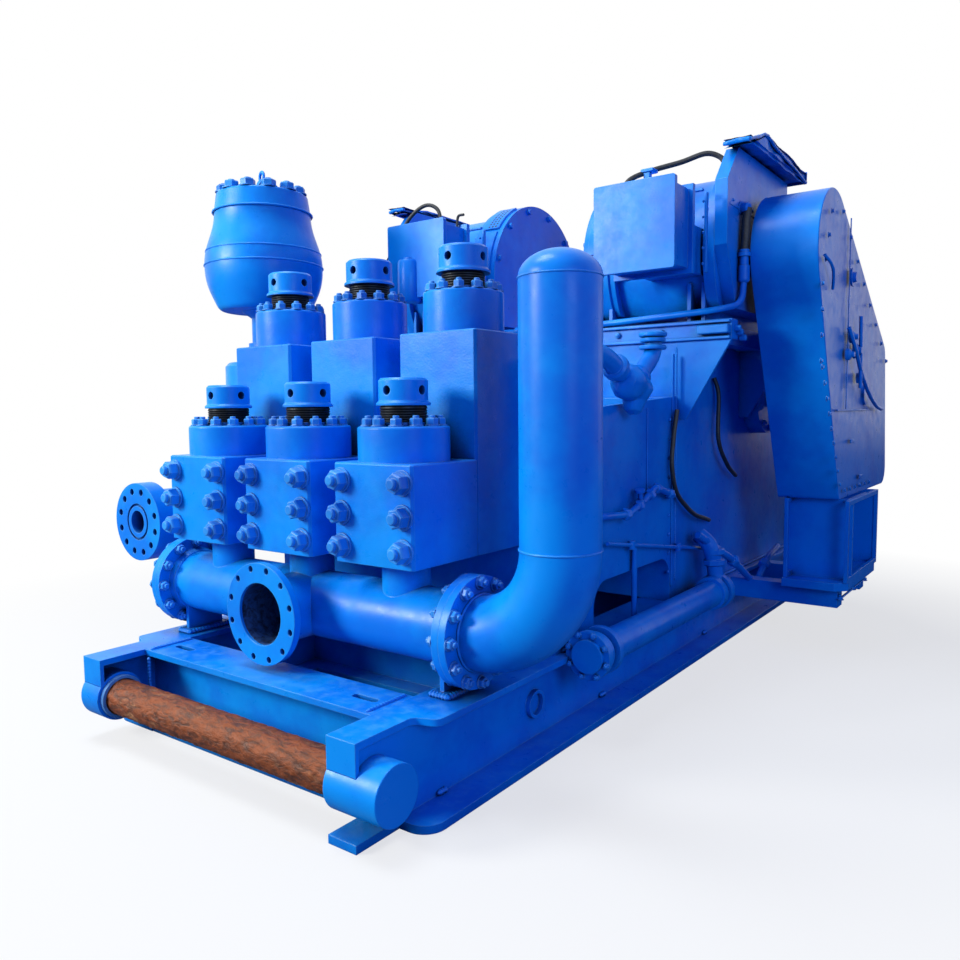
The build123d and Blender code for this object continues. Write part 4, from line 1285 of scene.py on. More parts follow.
@dataclass
class BaseFittings:
    """Rails, ledges and the fan conduit on the motor base.

    The conduit's riser is measured from the air duct's outer front corner, at the base's top.
    """

    lip: float = 0.022
    lip_height: float = 0.016
    lip_drops: tuple[float, float] = (0.004, 0.085)
    ledge_length: float = 0.165
    ledge_reach: float = 0.05
    ledge_drops: tuple[float, float] = (0.075, 0.03)
    end_bolts: tuple[float, ...] = (0.015, 0.05, 0.10)
    end_bolt: tuple[tuple[float, float], ...] = ((0, 0.016), (0.03, 0.016), (0.034, 0.012))
    front_bolts: int = 9
    front_bolt_inset: float = 0.12
    front_bolt_drop: float = 0.05
    conduit: float = 0.017
    conduit_gap: float = 0.012
    conduit_start: float = 0.35
    conduit_clips: tuple[float, ...] = (0.22, 0.5, 0.78)
    riser_inset: float = 0.17
    connector: Collar = Collar((0, 0, 0.19), (0, 0, 1), (
        (0, 0.022), (0.010, 0.030), (0.085, 0.030), (0.085, 0.024), (0.130, 0.024),
        (0.130, 0.034), (0.150, 0.034), (0.150, 0.028), (0.165, 0.028),
    ))
    gland: Collar = Collar((-0.030, 0.02, 0.57), (1, -0.25, -0.1), (
        (0, 0.034), (0.012, 0.034), (0.012, 0.026), (0.045, 0.026), (0.052, 0.020),
    ))
    hose: Run = Run((
        (0, 0, 0.345), (0.005, 0, 0.42), (0.004, 0.01, 0.50), (0.011, 0.014, 0.565),
    ), 0.021)

    def build(self) -> None:
        """Makes the rails, the ledge, the conduit and its hose."""
        base = Extent.of("motor_base")
        duct = Extent.of("air_duct_right")
        self.rails(base)
        riser = Vector((
            duct.high.x + self.conduit + self.conduit_gap, duct.low.y + self.riser_inset,
            base.high.z,
        ))
        self.conduit_line(base, riser)
        hose = Shape()
        self.hose.add_to(hose, riser)
        hose.finish("fan_hose", HOSE)

    def rails(self, base: Extent) -> None:
        """Makes the two lips, the ledge and the bolts along the base's front.

        Args:
            base: the motor base's box.
        """
        shape = Shape()
        front, top = base.low.y, base.high.z
        for drop in self.lip_drops:
            shape.block(
                Vector((base.low.x + 0.004, front - self.lip, top - drop - self.lip_height)),
                Vector((base.high.x - 0.004, front + 0.001, top - drop)), 0.003,
            )
        shape.block(
            Vector((base.high.x - self.ledge_length, front - self.ledge_reach,
                    top - self.ledge_drops[0])),
            Vector((base.high.x - 0.002, front + 0.001, top - self.ledge_drops[1])), 0.005,
        )
        for offset in self.end_bolts:
            shape.turned(
                Vector((base.high.x - 0.002, front + 0.03 + offset, top - 0.04 - offset * 0.5)),
                RIGHT, self.end_bolt, 6,
            )
        pitch = (base.size.x - 2 * self.front_bolt_inset) / (self.front_bolts - 1)
        for index in range(self.front_bolts):
            x = base.low.x + self.front_bolt_inset + index * pitch
            shape.nut(Vector((x, front - 0.001, top - self.front_bolt_drop)), -BACK,
                      0.026, 0.016, 0.006, turn=0.4 * index)
        shape.finish("base_rails", CASTING)

    def conduit_line(self, base: Extent, riser: Vector) -> None:
        """Runs the fan's conduit along the base and up to its hose.

        Args:
            base: the motor base's box.
            riser: foot of the upright stretch, at the base's top.
        """
        shape = Shape()
        front, top = base.low.y - 0.012, base.high.z
        start = Vector((base.low.x + self.conduit_start, front, top + 0.012))
        end = Vector((base.low.x + 1.62, front, top + 0.020))
        line = [
            start, Vector((base.low.x + 1.10, front, top + 0.013)), end,
            Vector((base.high.x - 0.07, front + 0.002, top + 0.045)),
            riser + Vector((0, -0.02, 0.080)), riser + Vector((0, 0, 0.20)),
        ]
        shape.tube(eased(line, 0.09), self.conduit, 14)
        self.connector.add_to(shape, riser)
        self.gland.add_to(shape, riser)
        for share in self.conduit_clips:
            spot = start.lerp(end, share) - RIGHT * 0.012
            shape.turned(spot, RIGHT, [(0, 0.024), (0.024, 0.024)], 14)
        shape.finish("fan_conduit", PIPE)


@dataclass
class SideFittings:
    """Vent, valve line, feeds and hoses right of the crosshead frame, and both sides' welds.

    Places are measured from the frame's rear right corner, and up from the floor.
    """

    vent: tuple[Run | Collar, ...] = (
        Run(((0.075, -0.455, 1.700), (0.075, -0.470, 1.630), (0.075, -0.560, 1.560),
             (0.075, -0.660, 1.495)), 0.040, sides=18, steps=6),
        Run(((0.075, -0.680, 1.500), (0.070, -0.80, 1.545), (0.055, -0.90, 1.600),
             (0.025, -1.0, 1.63)), 0.042, sides=18, steps=6),
        Collar((0.075, -0.60, 1.535), (0, -0.8, -0.55),
               ((0, 0.052), (0.01, 0.058), (0.03, 0.058), (0.04, 0.050)), 20),
        Collar((0.065, -0.80, 1.55), (0, -0.9, 0.35),
               ((0, 0.052), (0.01, 0.060), (0.035, 0.060), (0.045, 0.05)), 20),
    )
    vent_rings: tuple[tuple[float, float], ...] = ((1.655, 0.064), (1.690, 0.060), (1.715, 0.066))
    vent_ring_place: tuple[float, float] = (0.075, -0.460)
    wrap_place: Point = (0.079, -0.60, 1.455)
    wrap_way: Point = (0, -0.93, 0.30)
    wrap_length: float = 0.20
    wrap_steps: int = 14
    strainer: Collar = Collar((0.071, -0.665, 1.35), (0.05, 0.10, 1), (
        (0, 0.014), (0.02, 0.040), (0.06, 0.052), (0.12, 0.055), (0.15, 0.04),
    ), 20)
    pipework: tuple[Run | Collar, ...] = (
        Run(((-0.01, -0.93, 0.905), (0.05, -0.90, 0.905), (0.05, -0.65, 0.890),
             (0.05, -0.47, 0.945), (0.05, -0.36, 0.995), (0.05, -0.13, 0.930),
             (-0.01, -0.11, 0.925)), 0.016, bend=0.03, sides=14),
        union((0.05, -0.70, 0.893), (0, 1, 0), 0.030),
        union((0.05, -0.56, 0.915), (0, 1, 0.3), 0.028),
        union((0.05, -0.44, 0.955), (0, 1, 0.4), 0.030),
        union((0.05, -0.36, 0.990), (0, 1, -0.3), 0.026),
        union((0.05, -0.20, 0.950), (0, 1, -0.25), 0.026),
        Collar((0.05, -0.52, 0.92), (0, -0.25, 1), (
            (0, 0.02), (0.03, 0.02), (0.03, 0.012), (0.065, 0.012), (0.065, 0.026), (0.08, 0.026),
        )),
        Run(((0.04, -0.845, 0.777), (0.04, 0.29, 0.596)), 0.010, bend=0.01),
        Collar((0.038, -0.60, 0.718045), (0, 0, 1), ((0, 0.018), (0.04, 0.018))),
        Collar((0.038, -0.05, 0.630595), (0, 0, 1), ((0, 0.018), (0.04, 0.018))),
        Run(((0.02, -0.53, 0.365), (0.02, -0.53, 0.72)), 0.014, bend=0.01),
        Run(((0.09, 0.10, 0.70), (0.16, 0.44, 0.523), (0.16, 0.87, 0.300), (0.16, 1.11, 0.433),
             (0.16, 1.32, 0.474)), 0.020, bend=0.05, sides=14),
        Collar((0.16, 0.44, 0.523), (0, 1, -0.5), COUPLING, 6),
        Collar((0.16, 0.84, 0.315), (0, 1, -0.4), COUPLING, 6),
        Collar((0.16, 1.02, 0.388), (0, 1, 0.6), COUPLING, 6),
    )
    hoses: tuple[Run, ...] = (
        Run(((0.03, -0.055, 1.37), (0.028, -0.095, 1.22), (0.03, -0.115, 1.08),
             (0.035, -0.065, 0.944), (0.045, 0.04, 0.86), (0.05, 0.16, 0.80),
             (0.05, 0.30, 0.765), (0.03, 0.42, 0.74)), 0.012),
        Run(((0.02, 0.50, 1.55), (0.04, 0.52, 1.45), (0.05, 0.50, 1.20), (0.06, 0.62, 1.05),
             (0.05, 0.80, 0.97)), 0.012),
    )
    edge_proud: float = 0.007
    edge_strips: tuple[tuple[float, float, float, float], ...] = (
        (-0.055, -0.035, 0.44, 1.66), (-0.36, -0.352, 0.95, 1.38),
    )
    screw_rows: int = 9
    screw_pitch: float = 0.1
    screw_foot: tuple[float, float] = (-0.085, 0.52)
    foot_weld_reach: float = 2.1

    def build(self) -> None:
        """Makes the vent, the pipework, the hoses and the plate edges."""
        box = Extent.of("crosshead_frame")
        corner = Vector((box.high.x, box.high.y, 0))
        self.vent_pipe(corner)
        pipes = Shape()
        for item in self.pipework:
            item.add_to(pipes, corner)
        pipes.finish("side_pipework", PIPE)
        rubber = Shape()
        for item in self.hoses:
            item.add_to(rubber, corner)
        rubber.finish("side_hoses", HOSE)
        self.edges(box)

    def vent_pipe(self, corner: Vector) -> None:
        """Runs the crankcase vent from the base down to the wrapped strainer.

        Args:
            corner: where the places are measured from.
        """
        shape = Shape()
        for item in self.vent:
            item.add_to(shape, corner)
        for height, reach in self.vent_rings:
            shape.turned(
                corner + Vector((*self.vent_ring_place, height)), UP,
                [(0, reach * 0.92), (0.005, reach), (0.016, reach), (0.02, reach * 0.9)], 24,
            )
        shape.finish("vent_pipe", CASTING)
        wrap = Shape()
        profile = []
        for step in range(self.wrap_steps + 1):
            share = step / self.wrap_steps
            swell = 0.058 + 0.022 * math.sin(math.pi * share) + 0.005 * math.sin(9 * share + 1)
            inside = 0 < step < self.wrap_steps
            profile.append((share * self.wrap_length, swell if inside else 0.03))
        wrap.turned(corner + Vector(self.wrap_place), Vector(self.wrap_way), profile, 30)
        self.strainer.add_to(wrap, corner)
        wrap.crumple(0.009, 24.0)
        wrap.finish("wrapped_strainer", CASTING)

    def edges(self, box: Extent) -> None:
        """Lays the plate edges, the screws and the welds on both sides of the frame.

        Args:
            box: the crosshead frame's box.
        """
        case = Extent.of("crankcase")
        shape = Shape()
        rear = box.high.y
        for side in (-1, 1):
            x = side * box.high.x
            out = side * self.edge_proud
            low_x, high_x = sorted((x - out * 0.2, x + out))
            for y0, y1, z0, z1 in self.edge_strips:
                shape.block(Vector((low_x, rear + y0, z0)), Vector((high_x, rear + y1, z1)), 0.002)
            y, z = self.screw_foot
            for row in range(self.screw_rows):
                shape.turned(
                    Vector((x, rear + y, z + row * self.screw_pitch)), Vector((side, 0, 0)),
                    [(0, 0.011), (0.007, 0.010), (0.010, 0.005)], 6,
                )
            shape.bead([
                Vector((x, rear + 0.002, 0.46)), Vector((x, rear + 0.002, case.high.z - 0.03)),
            ], 0.007, 0.012)
            foot = Vector((x + side * 0.004, box.low.y + 0.05, box.low.z + 0.006))
            end = Vector((foot.x, rear + self.foot_weld_reach, foot.z))
            shape.bead([foot, end], 0.009, 0.016)
        shape.finish("frame_edges_and_welds", PLATE)


@dataclass
class DrainFittings:
    """Clamps and rear elbow of the drain pipe."""

    neck_share: float = 0.8
    bands: tuple[tuple[float, float, float], ...] = (
        (0.012, 0.030, 0.030), (0.045, 0.022, 0.016), (0.075, 0.030, 0.030),
        (0.90, 0.05, 0.018), (0.955, 0.045, 0.026),
    )
    bolt_count: int = 8
    bolt_reach: float = 0.020
    rear_inset: float = 0.07
    riser: Run = Run((
        (0, -0.04, 0), (0, 0.01, 0.03), (-0.01, 0.02, 0.13), (-0.03, -0.01, 0.25),
        (-0.09, -0.02, 0.31),
    ), 0.044, sides=20, steps=6)
    riser_rings: tuple[float, ...] = (0.14, 0.20)

    def build(self) -> None:
        """Makes the front clamp, the middle band and the rear riser."""
        pipe = Extent.of("drain_pipe")
        radius = pipe.size.x / 2
        level = pipe.middle.z
        x = pipe.middle.x
        run = pipe.size.y
        along = BACK
        shape = Shape()
        neck = radius * self.neck_share
        for share, width, reach in self.bands:
            start = Vector((x, pipe.low.y + run * share, level))
            shape.turned(start, along, [
                (0, neck + 0.001), (0, neck + reach), (width, neck + reach), (width, neck + 0.001),
            ], 36)
        flange = Vector((x, pipe.low.y + run * self.bands[0][0], level))
        for place in ring(flange, along, neck + self.bolt_reach, self.bolt_count, 0.3):
            shape.nut(place, -BACK, 0.022, 0.013, 0.006)
        rear = pipe.high.y - self.rear_inset
        self.riser.add_to(shape, Vector((x, rear, level)))
        for height in self.riser_rings:
            shape.turned(Vector((x - 0.012, rear + 0.016, level + height)), Vector((-0.05, 0, 1)),
                         [(0, 0.05), (0.006, 0.060), (0.030, 0.060), (0.036, 0.05)], 8)
        shape.finish("drain_fittings", CASTING)


@dataclass
class GuardFittings:
    """Bolts, seams, handles and latches of the belt guards and their stands."""

    bolt: float = 0.014
    latch_rod: tuple[Point, ...] = (
        (0.02, -0.12, 0.14), (0.034, 0.0, 0.02), (0.034, 0.16, -0.10), (0.034, 0.38, -0.21),
        (0.03, 0.62, -0.28), (0.02, 0.84, -0.30),
    )
    latch_lever: tuple[Point, ...] = ((0.034, 0.10, 0.22), (0.034, 0.13, -0.18))

    def build(self) -> None:
        """Makes the guard's bolts, seam, grab handle, latch rod and stand bolts."""
        shape = Shape()
        rods = Shape()
        for side in ("left", "right"):
            guard = Extent.of(f"belt_guard_{side}")
            way = 1 if side == "right" else -1
            face = guard.high.x if way > 0 else guard.low.x
            out = Vector((way, 0, 0))
            low, high = guard.low, guard.high
            for share in range(7):
                t = share / 6
                y = low.y + 0.035 + 0.30 * max(0.0, t - 0.5)
                z = high.z - 0.14 - 0.75 * (1 - t)
                self.screw(shape, Vector((face, y, z)), out)
            for share in range(8):
                t = share / 7
                y = low.y + 0.42 + t * (guard.size.y - 0.60)
                z = high.z - 0.10 - t * 0.72
                self.screw(shape, Vector((face, y, z)), out)
            for share in range(9):
                t = share / 8
                y = low.y + 0.06 + t * 0.44
                z = high.z - 0.92 - t * 0.62
                self.screw(shape, Vector((face, y, z)), out)
            for share in range(6):
                self.screw(shape, Vector((face, low.y + 0.62 + share * 0.13, low.z + 0.05)), out)
            seam_y = low.y + 0.60
            x0, x1 = sorted((face - way * 0.001, face + way * 0.004))
            shape.block(Vector((x0, seam_y, low.z + 0.50)),
                        Vector((x1, seam_y + 0.012, high.z - 0.10)), 0.001)
            shape.block(Vector((x0, seam_y - 0.20, low.z + 0.492)),
                        Vector((x1, seam_y + 0.60, low.z + 0.502)), 0.001)
            spot = Vector((face, seam_y + 0.05, high.z - 0.41))
            rods.turned(spot, out, [(0, 0.046), (0.006, 0.050), (0.012, 0.050), (0.012, 0.030),
                                    (0.030, 0.026)], 20)
            rods.tube(hanging([
                Vector((face + way * 0.004, low.y + 0.05, high.z - 0.375)),
                Vector((face + way * 0.022, low.y + 0.10, high.z - 0.41)),
                Vector((face + way * 0.022, low.y + 0.16, high.z - 0.45)),
                Vector((face + way * 0.004, low.y + 0.23, high.z - 0.52)),
            ], 6), 0.008, 10)
            catch = Vector((face, low.y + 0.66, low.z + 0.80))
            for offset, size in (((0, 0, 0.10), 0.035), ((0, 0.10, 0.03), 0.045),
                                 ((0, -0.08, 0.0), 0.034), ((0, 0.20, -0.12), 0.032)):
                seat = catch + Vector(offset)
                rods.turned(seat, out, [(0, size), (0.02, size * 0.9), (0.028, size * 0.5),
                                        (0.044, size * 0.4)], 12)
            rods.tube(hanging(
                [catch + Vector((way * x, y, z)) for x, y, z in self.latch_rod], 6
            ), 0.011, 10)
            rods.tube(
                [catch + Vector((way * x, y, z)) for x, y, z in self.latch_lever], 0.010, 10
            )
            for y, z in ((0.72, 0.31), (0.98, 0.09)):
                rods.block(
                    Vector((min(face, face + way * 0.008), low.y + y, low.z + z)),
                    Vector((max(face, face + way * 0.008), low.y + y + 0.09, low.z + z + 0.022)),
                    0.002,
                )
        shape.finish("guard_bolts_and_seams", SHEET)
        rods.finish("guard_latches", CASTING)
        self.stand_bolts()

    def screw(self, shape: Shape, seat: Vector, out: Vector) -> None:
        """Adds a small hex screw.

        Args:
            shape: mesh that takes it.
            seat: point under its head.
            out: the way its head points.
        """
        shape.turned(seat - out * 0.001, out, [(0, self.bolt), (0.003, self.bolt)], 14)
        shape.turned(seat, out, [(0.003, self.bolt * 0.7), (0.011, self.bolt * 0.62)], 6)

    def stand_bolts(self) -> None:
        """Bolts the stands' rims and lays their welds."""
        stands = Extent.of("guard_stands")
        shape = Shape()
        for side in (-1, 1):
            x = side * (stands.high.x - 0.052)
            for y in (stands.low.y + 0.10, stands.middle.y, stands.high.y - 0.10):
                shape.nut(Vector((x, y, stands.low.z + 0.047)), Vector((0, 0, 1)),
                          0.034, 0.020, 0.012, turn=y)
            rim = side * (stands.high.x - 0.047)
            for height in (stands.low.z + 0.055, stands.high.z - 0.012):
                shape.bead([
                    Vector((rim, stands.low.y + 0.12, height)),
                    Vector((rim, stands.high.y - 0.12, height)),
                ], 0.006, 0.012)
        shape.finish("stand_bolts_and_welds", PLATE)


@dataclass
class RoofFittings:
    """Rolled and dented edges of the rain hoods, and the duct's folds."""

    roll: float = 0.011
    dent_steps: int = 5
    dent_width: float = 0.16
    dent_depth: float = 0.030

    def build(self) -> None:
        """Makes the rolled edges, the dents and the duct's seams."""
        self.hood_edges()
        self.dent_hoods()
        self.duct_seams()

    def hood_edges(self) -> None:
        """Rolls the hoods' free edges."""
        hoods = Extent.of("rain_hoods")
        dents = Shape()
        for side in (-1, 1):
            duct = Extent.of("air_duct_right" if side > 0 else "air_duct_left")
            tall = hoods.size.z if side > 0 else 0.045
            inner = side * (duct.high.x - 0.047 if side > 0 else -duct.low.x - 0.047)
            outer = side * (hoods.high.x - 0.006)
            crest = hoods.low.y + 0.26
            top = hoods.low.z + tall
            edge = [
                Vector((outer, hoods.low.y + 0.004, hoods.low.z + 0.004)),
                Vector((outer, crest - 0.10, top - 0.045)),
                Vector((outer, crest, top - 0.016)),
                Vector((outer, crest + 0.20, top - 0.040)),
                Vector((outer, hoods.high.y - 0.01, hoods.low.z + 0.010)),
            ]
            dents.tube(hanging(edge, 8), self.roll * 0.8, 10)
            lip = [
                Vector((inner, hoods.low.y + 0.006, hoods.low.z + 0.003)),
                Vector(((inner + outer) / 2, hoods.low.y + 0.002, hoods.low.z + 0.006)),
                Vector((outer, hoods.low.y + 0.006, hoods.low.z + 0.003)),
            ]
            dents.tube(hanging(lip, 8), self.roll, 10)
        dents.crumple(0.005, 30.0)
        dents.finish("hood_edges", SHEET)

    def dent_hoods(self) -> None:
        """Dents the hoods' sheet, as if trodden on."""
        hood = frame["nodes"]["rain_hoods"]
        finer = hood.modifiers.new("finer", "SUBSURF")
        finer.subdivision_type = "SIMPLE"
        finer.levels = finer.render_levels = self.dent_steps
        trodden = bpy.data.textures.new("trodden", "CLOUDS")
        trodden.noise_scale = self.dent_width
        dent = hood.modifiers.new("dented", "DISPLACE")
        dent.texture = trodden
        dent.strength = self.dent_depth
        dent.mid_level = 1.05

    def duct_seams(self) -> None:
        """Lays the seam and its rivets on each duct's outer face."""
        folds = Shape()
        for side in ("left", "right"):
            duct = Extent.of(f"air_duct_{side}")
            way = 1 if side == "right" else -1
            face = duct.high.x if way > 0 else duct.low.x
            x0, x1 = sorted((face - way * 0.001, face + way * 0.003))
            folds.block(Vector((x0, duct.low.y + 0.03, duct.low.z + 0.5)),
                        Vector((x1, duct.high.y - 0.03, duct.low.z + 0.512)), 0.001)
            for index in range(8):
                folds.turned(
                    Vector((face, duct.low.y + 0.08 + index * 0.1, duct.low.z + 0.53)),
                    Vector((way, 0, 0)), [(0, 0.008), (0.004, 0.007), (0.006, 0.003)], 10,
                )
        folds.finish("duct_seams", SHEET)


@dataclass
class SkidWelds:
    """Weld beads, bolts and rings of the skid, the hatch and the bearing covers."""

    bead: float = 0.008
    pitch: float = 0.015
    pit_step: float = 0.006
    pit_width: float = 0.028
    pit_depth: float = 0.009

    def build(self) -> None:
        """Makes the skid's welds, the roller's end ring, and the rear and side bolts."""
        self.welds()
        self.bolts()

    def welds(self) -> None:
        """Lays beads where the skid's members meet, rings the roller's end and pits the roller."""
        cross = Extent.of("skid_front_crossmember")
        beam = Extent.of("skid_beam_right")
        shape = Shape()
        for side in (-1, 1):
            seam = side * (beam.low.x + 0.004)
            shape.bead([Vector((seam, cross.low.y + 0.01, cross.high.z + 0.001)),
                        Vector((seam, cross.high.y - 0.01, cross.high.z + 0.001))],
                       self.bead, self.pitch)
            face = side * (beam.middle.x - 0.02)
            shape.bead([Vector((seam, cross.low.y - 0.002, cross.low.z + 0.05)),
                        Vector((seam, cross.low.y - 0.002, cross.high.z - 0.03))],
                       self.bead, self.pitch)
            for y in (beam.low.y + 0.40, beam.low.y + 1.60, beam.low.y + 2.9, beam.high.y - 0.4):
                shape.bead([Vector((face + side * 0.035, y, 0.04)),
                            Vector((face + side * 0.035, y + 0.05, 0.04))], 0.010, 0.014)
        shape.finish("skid_welds", PLATE)
        roller = Extent.of("pull_roller")
        collar = Shape()
        level, depth = roller.middle.z, roller.middle.y
        radius = roller.size.z / 2
        collar.pipe_wall(Vector((-0.673, depth, level)), Vector((1, 0, 0)),
                         radius + 0.012, radius - 0.001, 0.022, 36)
        collar.finish("roller_collar", WORN)
        pull = frame["nodes"]["pull_roller"]
        finer = pull.modifiers.new("finer", "REMESH")
        finer.mode = "VOXEL"
        finer.voxel_size = self.pit_step
        finer.use_smooth_shade = True
        scale = bpy.data.textures.new("scale", "CLOUDS")
        scale.noise_scale = self.pit_width
        pits = pull.modifiers.new("pitted", "DISPLACE")
        pits.texture = scale
        pits.strength = self.pit_depth
        pits.mid_level = 1.0

    def bolts(self) -> None:
        """Sets the hatch screws and the bearing cover bolts."""
        hatch = Extent.of("rear_hatch")
        shape = Shape()
        rows, columns = 5, 7
        for row in range(rows):
            for column in range(columns):
                if 0 < row < rows - 1 and 0 < column < columns - 1:
                    continue
                x = hatch.low.x + 0.035 + (hatch.size.x - 0.07) * column / (columns - 1)
                z = hatch.low.z + 0.035 + (hatch.size.z - 0.07) * row / (rows - 1)
                shape.nut(Vector((x, hatch.high.y, z)), Vector((0, 1, 0)), 0.027, 0.016, 0.004,
                          turn=row + column)
        covers = Extent.of("bearing_covers")
        for side in (-1, 1):
            face = covers.high.x if side > 0 else covers.low.x
            centre = Vector((face, covers.middle.y, covers.middle.z))
            for place in ring(centre, Vector((side, 0, 0)), covers.size.y / 2 - 0.034, 10, 0.2):
                shape.nut(place, Vector((side, 0, 0)), 0.034, 0.020, 0.008)
        shape.finish("hatch_and_bearing_bolts", NUTS)


@dataclass
class FrameDress:
    """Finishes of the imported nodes."""

    castings: tuple[str, ...] = ("module", "cover", "dampener", "cross", "bearing", "crankcase")
    sheets: tuple[str, ...] = ("guard", "duct", "hood", "terminal", "hatch")
    pipes: tuple[str, ...] = ("manifold", "stabilizer", "pipe", "sleeve")

    def apply(self) -> None:
        """Picks each node's enamel by what it is made of."""
        for node in frame["nodes"]:
            if node == "pull_roller":
                dress([node], ROLLER)
            elif node in ("cylinder_liners", "drive_shafts"):
                dress([node], BRIGHT)
            elif any(word in node for word in self.castings):
                dress([node], CASTING)
            elif any(word in node for word in self.sheets):
                dress([node], SHEET)
            elif any(word in node for word in self.pipes):
                dress([node], PIPE)
            else:
                dress([node], PLATE)
        log.info("dressed %d nodes", len(frame["nodes"]))


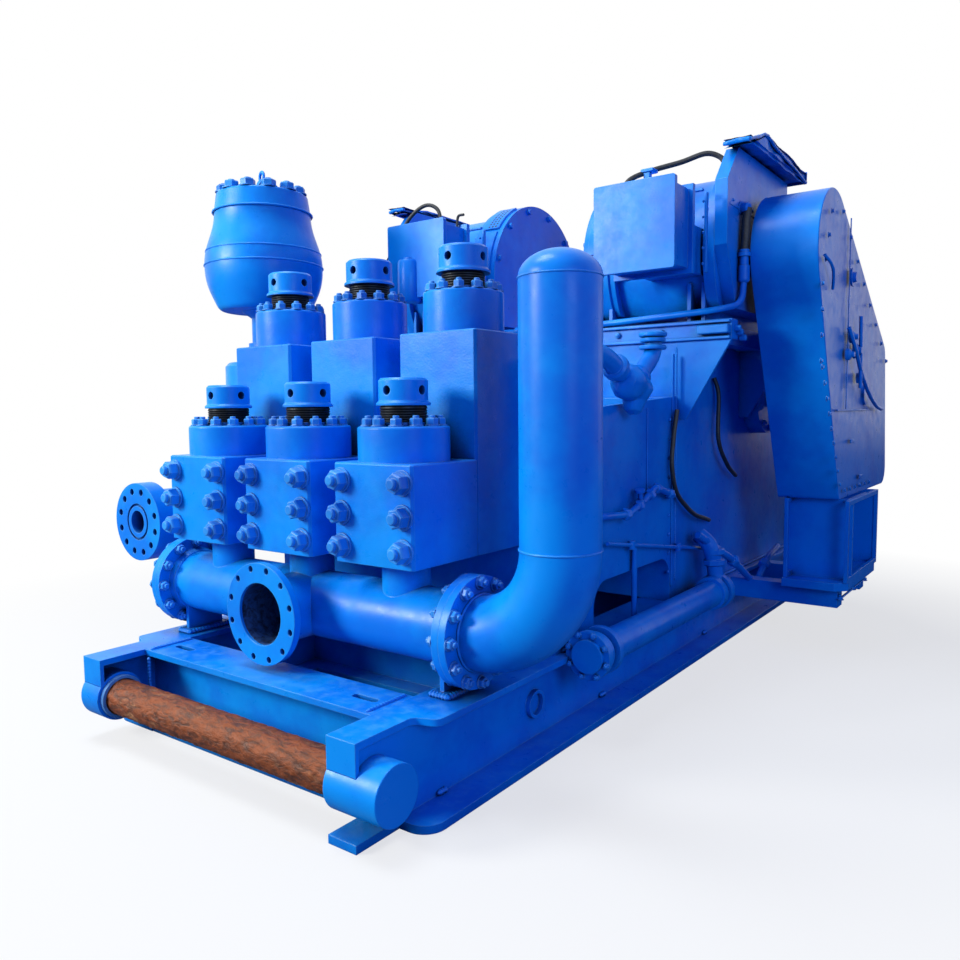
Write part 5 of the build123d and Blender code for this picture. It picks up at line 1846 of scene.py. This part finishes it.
@dataclass
class Studio:
    """Camera, soft lamps, pale floor and white surround."""

    eye: tuple[float, float, float] = (2.55112, -4.05846, 1.37309)
    heading: float = 36.3022
    pitch: float = -4.8359
    roll: float = -0.5607
    lens: float = 30.50
    floor_half: float = 40.0
    floor_shade: tuple[float, float] = (2.4, 4.6)
    floor_glow: float = 0.70
    floor_bounce: str = "#6C7684"

    def build(self) -> None:
        """Sets the view, the lamps and the surround."""
        bpy.context.scene.view_settings.view_transform = "Standard"
        self.camera()
        self.lamps()
        self.surround()
        self.floor()
        log.info("studio ready")

    def camera(self) -> None:
        """Stands the camera at eye height in front of the fluid end's right corner."""
        data = bpy.data.cameras.new("view")
        data.lens = self.lens
        data.sensor_width = 36.0
        data.clip_start = 0.05
        data.clip_end = 200.0
        camera = bpy.data.objects.new("view", data)
        bpy.context.scene.collection.objects.link(camera)
        turn = (
            Matrix.Rotation(math.radians(self.heading), 4, "Z")
            @ Matrix.Rotation(math.radians(90.0 + self.pitch), 4, "X")
            @ Matrix.Rotation(math.radians(self.roll), 4, "Z")
        )
        camera.matrix_world = Matrix.Translation(self.eye) @ turn
        bpy.context.scene.camera = camera

    def lamps(self) -> None:
        """Hangs a large key to the front left, an overhead bank and a low fill at the right."""
        self.softbox("key", (-5.2, -8.8, 4.7), (0.0, -0.6, 1.0), 3.0, 1010.0, "#FFFDF4")
        self.softbox("overhead", (-1.5, -2.5, 8.0), (0.0, 0.0, 1.0), 3.0, 330.0, "#F2FAFF")
        self.softbox("fill", (6.6, -4.6, 3.0), (0.7, -0.6, 1.1), 2.6, 165.0, "#86B4FF")

    def softbox(
        self, name: str, place: tuple[float, float, float], aim: tuple[float, float, float],
        size: float, watts: float, colour: str,
    ) -> None:
        """Hangs one square lamp.

        Args:
            name: the lamp's name.
            place: where it hangs.
            aim: the point that it faces.
            size: its edge.
            watts: its power.
            colour: its sRGB tint.
        """
        data = bpy.data.lights.new(name, "AREA")
        data.shape = "SQUARE"
        data.color = linear(colour)[:3]
        data.size = size
        data.energy = watts
        lamp = bpy.data.objects.new(name, data)
        lamp.location = place
        lamp.rotation_mode = "QUATERNION"
        lamp.rotation_quaternion = (Vector(aim) - Vector(place)).to_track_quat("-Z", "Y")
        bpy.context.scene.collection.objects.link(lamp)

    def surround(self) -> None:
        """Makes a dim surround that the camera sees as white."""
        world = bpy.data.worlds.new("surround")
        world.use_nodes = True
        bpy.context.scene.world = world
        tree = world.node_tree
        tree.nodes.clear()
        rays = add_node(tree, "ShaderNodeLightPath")
        clear = add_node(
            tree, "ShaderNodeMath", links={0: rays.outputs["Is Camera Ray"],
                                           1: rays.outputs["Is Transmission Ray"]},
            operation="MAXIMUM",
        )
        seen = add_node(
            tree, "ShaderNodeMath", links={0: clear.outputs[0],
                                           1: rays.outputs["Is Glossy Ray"]},
            operation="MAXIMUM",
        )
        dim = add_node(
            tree, "ShaderNodeBackground", {"Color": linear("#7FA6FA"), "Strength": 0.24}
        )
        white = add_node(
            tree, "ShaderNodeBackground", {"Color": (1.0, 1.0, 1.0, 1.0), "Strength": 1.0}
        )
        mix = add_node(
            tree, "ShaderNodeMixShader",
            links={0: seen.outputs[0], 1: dim.outputs[0], 2: white.outputs[0]},
        )
        add_node(tree, "ShaderNodeOutputWorld", links={"Surface": mix.outputs[0]})

    def floor(self) -> None:
        """Lays a pale floor that fades into the surround and keeps the pump's shadow."""
        data = bpy.data.meshes.new("floor")
        half = self.floor_half
        corners = [(-half, -half, 0), (half, -half, 0), (half, half, 0), (-half, half, 0)]
        data.from_pydata(corners, [], [(0, 1, 2, 3)])
        material = bpy.data.materials.new("floor_paint")
        material.use_nodes = True
        tree = material.node_tree
        shader = tree.nodes["Principled BSDF"]
        shader.inputs["Base Color"].default_value = linear("#E4E4E2")
        shader.inputs["Roughness"].default_value = 0.9
        rays = add_node(tree, "ShaderNodeLightPath")
        spot = add_node(tree, "ShaderNodeNewGeometry")
        reach = add_node(
            tree, "ShaderNodeVectorMath", links={0: spot.outputs["Position"]}, operation="LENGTH"
        )
        fade = add_node(
            tree, "ShaderNodeMapRange",
            {"From Min": self.floor_shade[0], "From Max": self.floor_shade[1],
             "To Min": self.floor_glow, "To Max": 1.0},
            {"Value": reach.outputs["Value"]},
        )
        glow = add_node(
            tree, "ShaderNodeEmission", {"Color": (1.0, 1.0, 1.0, 1.0), "Strength": 1.0}
        )
        seen = add_node(
            tree, "ShaderNodeMath",
            links={0: rays.outputs["Is Camera Ray"], 1: fade.outputs[0]},
            operation="MULTIPLY",
        )
        mix = add_node(
            tree, "ShaderNodeMixShader",
            links={0: seen.outputs[0], 1: shader.outputs[0], 2: glow.outputs[0]},
        )
        yard = add_node(
            tree, "ShaderNodeBsdfDiffuse", {"Color": linear(self.floor_bounce)}
        )
        laid = add_node(
            tree, "ShaderNodeMixShader",
            links={0: rays.outputs["Is Camera Ray"], 1: yard.outputs[0], 2: mix.outputs[0]},
        )
        tree.links.new(laid.outputs[0], tree.nodes["Material Output"].inputs["Surface"])
        data.materials.append(material)
        floor = bpy.data.objects.new("floor", data)
        bpy.context.scene.collection.objects.link(floor)


def main() -> None:
    """Builds the studio and each sub-assembly."""
    Studio().build()
    FrameDress().apply()
    FluidEndFittings().build()
    SuctionFittings().build()
    DampenerFittings().build()
    MotorFittings().build()
    BoxFittings().build()
    BaseFittings().build()
    SideFittings().build()
    DrainFittings().build()
    GuardFittings().build()
    RoofFittings().build()
    SkidWelds().build()


if __name__ == "__main__":
    logging.basicConfig(level=logging.INFO, format="%(name)s: %(message)s")
    main()
